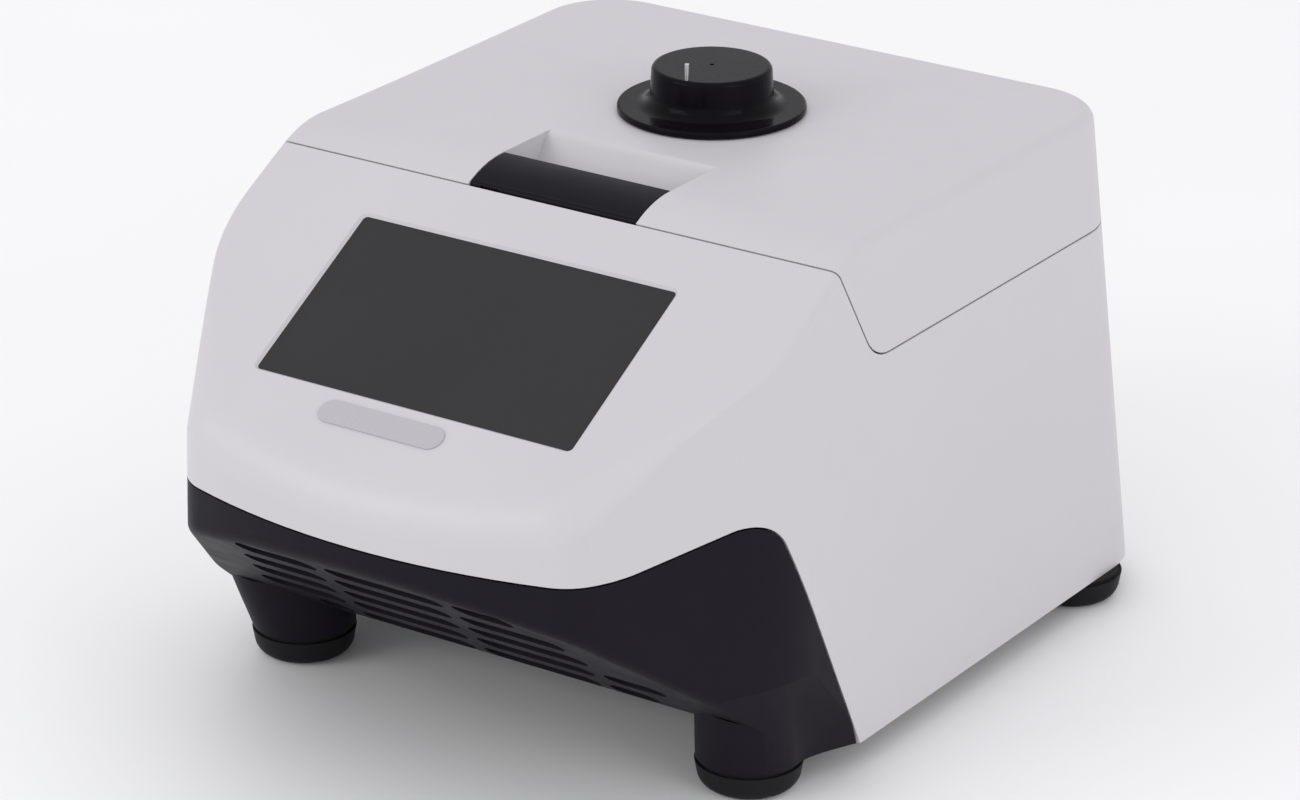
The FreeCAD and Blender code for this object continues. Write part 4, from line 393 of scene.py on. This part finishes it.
# Sample block and heat sink: the block with its wells is bead-blasted, clear-anodised aluminium.
# The sink below it is extruded and a little darker, with a grain from front to back.
block_alloy = metal("block_alloy", dark=(0.60, 0.61, 0.63), pale=(0.68, 0.69, 0.71),
                    rough=(0.36, 0.48), scale=1600, stretch=(1, 1, 1), depth=0.00002)
dress(block_alloy, "sample_block")
sink_alloy = metal("sink_alloy", dark=(0.52, 0.53, 0.54), pale=(0.62, 0.63, 0.64),
                   rough=(0.30, 0.42), scale=260, stretch=(8, 1, 8))
dress(sink_alloy, "heat_sink")

# Heated plate: brushed aluminium below, an orange heater mat and grey foam above it. The bush
# and nut of its spindle are turned brass, as are the standoffs of the main board.
plate_alloy = metal("plate_alloy", dark=(0.50, 0.50, 0.51), pale=(0.60, 0.60, 0.61),
                    rough=(0.26, 0.40), scale=300, stretch=(1, 14, 1))
dress(plate_alloy, "hot_plate")
mat_rubber = moulded("mat_rubber", dark=(0.42, 0.11, 0.03), pale=(0.50, 0.14, 0.04),
                     rough=(0.5, 0.62), grain=1200, depth=0.00003)
dress(mat_rubber, "heater_mat")
grey_foam = moulded("grey_foam", dark=(0.085, 0.085, 0.090), pale=(0.120, 0.120, 0.125),
                    rough=(0.80, 0.92), grain=900, depth=0.0002)
dress(grey_foam, "plate_insulation")
turned_brass = metal("turned_brass", dark=(0.60, 0.40, 0.14), pale=(0.72, 0.50, 0.20),
                     rough=(0.22, 0.34), scale=500, stretch=(1, 1, 12))
dress(turned_brass, "spindle_bush", "spindle_nut", "board_standoffs")

# Inner works: dark plastic frames, fans and parts, pale ceramic modules and a green board. The
# shells hide most of them; the surround of the block shows when the lid is open.
inner_black = moulded("inner_black", dark=(0.0140, 0.0138, 0.0150), pale=(0.0200, 0.0196, 0.0210),
                      rough=(0.46, 0.58), grain=1300)
dress(inner_black, "block_surround", "fan_duct", "fan_frame_left", "fan_frame_right", "fan_rotor_left",
      "fan_rotor_right", "supply_parts", "board_parts", "display_module")
ceramic = moulded("ceramic", dark=(0.62, 0.60, 0.56), pale=(0.68, 0.66, 0.62), rough=(0.55, 0.65),
                  grain=800)
dress(ceramic, "peltier_modules")
board_green = moulded("board_green", dark=(0.012, 0.085, 0.035), pale=(0.016, 0.105, 0.045),
                      rough=(0.30, 0.42), grain=500)
dress(board_green, "main_board")

# Rear fittings: the power inlet, its fuse drawer and the switch with its rocker are moulded in a
# satin black nylon and set into the rear panel.
fitting_black = moulded("fitting_black", dark=(0.0115, 0.0112, 0.0125), pale=(0.0150, 0.0146, 0.0160),
                        rough=(0.34, 0.46), grain=1500)
dress(fitting_black, "power_inlet", "fuse_drawer", "switch_housing", "power_rocker")

# Table: a plain pale top with a faint mottle, which the four feet stand on. It takes the soft
# shadow of the instrument and isn't part of it.
TABLE_HALF = 6.0
corners = [(x * TABLE_HALF, y * TABLE_HALF, 0) for x, y in ((-1, -1), (1, -1), (1, 1), (-1, 1))]
table_mesh = bpy.data.meshes.new("table")
table_mesh.from_pydata(corners, [], [(0, 1, 2, 3)])
table = bpy.data.objects.new("table", table_mesh)
bpy.context.scene.collection.objects.link(table)
table_top, tree, shader, place = new_material("table_top")
mottle = noise(tree, place, scale=3, detail=2)
table_tint = tinted(tree, mottle, dark=(0.93, 0.93, 0.925), pale=(0.95, 0.95, 0.945))
tree.links.new(table_tint, shader.inputs["Base Color"])
shader.inputs["Roughness"].default_value = 0.6
table.data.materials.append(table_top)

# Camera: a long lens looking down on the front and the user's right side. Its angles, distance
# and shifts across the view give the photograph's own view of the instrument.
AZIMUTH = math.radians(34.156)
ELEVATION = math.radians(22.490)
DISTANCE = 2.1974
RIGHT_SHIFT = 0.00808
UP_SHIFT = 0.1044
FOCAL_PIXELS = 5123.7
PHOTO_WIDE = 1300
FAR_CLIP = 50
right = Vector((math.cos(AZIMUTH), math.sin(AZIMUTH), 0))
back = Vector((math.sin(AZIMUTH) * math.cos(ELEVATION), -math.cos(AZIMUTH) * math.cos(ELEVATION),
               math.sin(ELEVATION)))
up = back.cross(right)
stand = Matrix.Translation(right * RIGHT_SHIFT + up * UP_SHIFT + back * DISTANCE)
facing = Matrix((right, up, back)).transposed().to_4x4()
lens = bpy.data.cameras.new("camera")
lens.sensor_fit = "HORIZONTAL"
lens.lens = FOCAL_PIXELS / PHOTO_WIDE * lens.sensor_width
lens.clip_end = FAR_CLIP
camera = bpy.data.objects.new("camera", lens)
camera.matrix_world = stand @ facing
bpy.context.scene.collection.objects.link(camera)
bpy.context.scene.camera = camera


# Lights: a broad overhead panel, a large one in front on the left and a weaker one on the right.
# A pale world round them fills the shadows.
def soft_light(name, place, aim, size, power):
    """A rectangular panel of light at a place, turned to a point it aims at."""
    lamp = bpy.data.lights.new(name, "AREA")
    lamp.shape = "RECTANGLE"
    lamp.size, lamp.size_y = size
    lamp.energy = power
    holder = bpy.data.objects.new(name, lamp)
    holder.location = place
    holder.rotation_euler = (Vector(aim) - Vector(place)).to_track_quat("-Z", "Y").to_euler()
    bpy.context.scene.collection.objects.link(holder)


soft_light("overhead_panel", place=(0.1, 0.3, 1.9), aim=(0, 0, 0.1), size=(1.8, 1.8), power=0.6)
soft_light("front_panel", place=(-1.3, -2.0, 1.3), aim=(0, 0, 0.12), size=(1.4, 1.2), power=14)
soft_light("side_panel", place=(2.3, -0.6, 1.0), aim=(0, 0, 0.12), size=(1.2, 1.2), power=9)
world = bpy.data.worlds.new("studio")
world.use_nodes = True
sky = world.node_tree.nodes["Background"]
sky.inputs["Color"].default_value = (0.97, 0.97, 1.0, 1)
sky.inputs["Strength"].default_value = 0.93
bpy.context.scene.world = world
bpy.context.scene.view_settings.view_transform = "Standard"
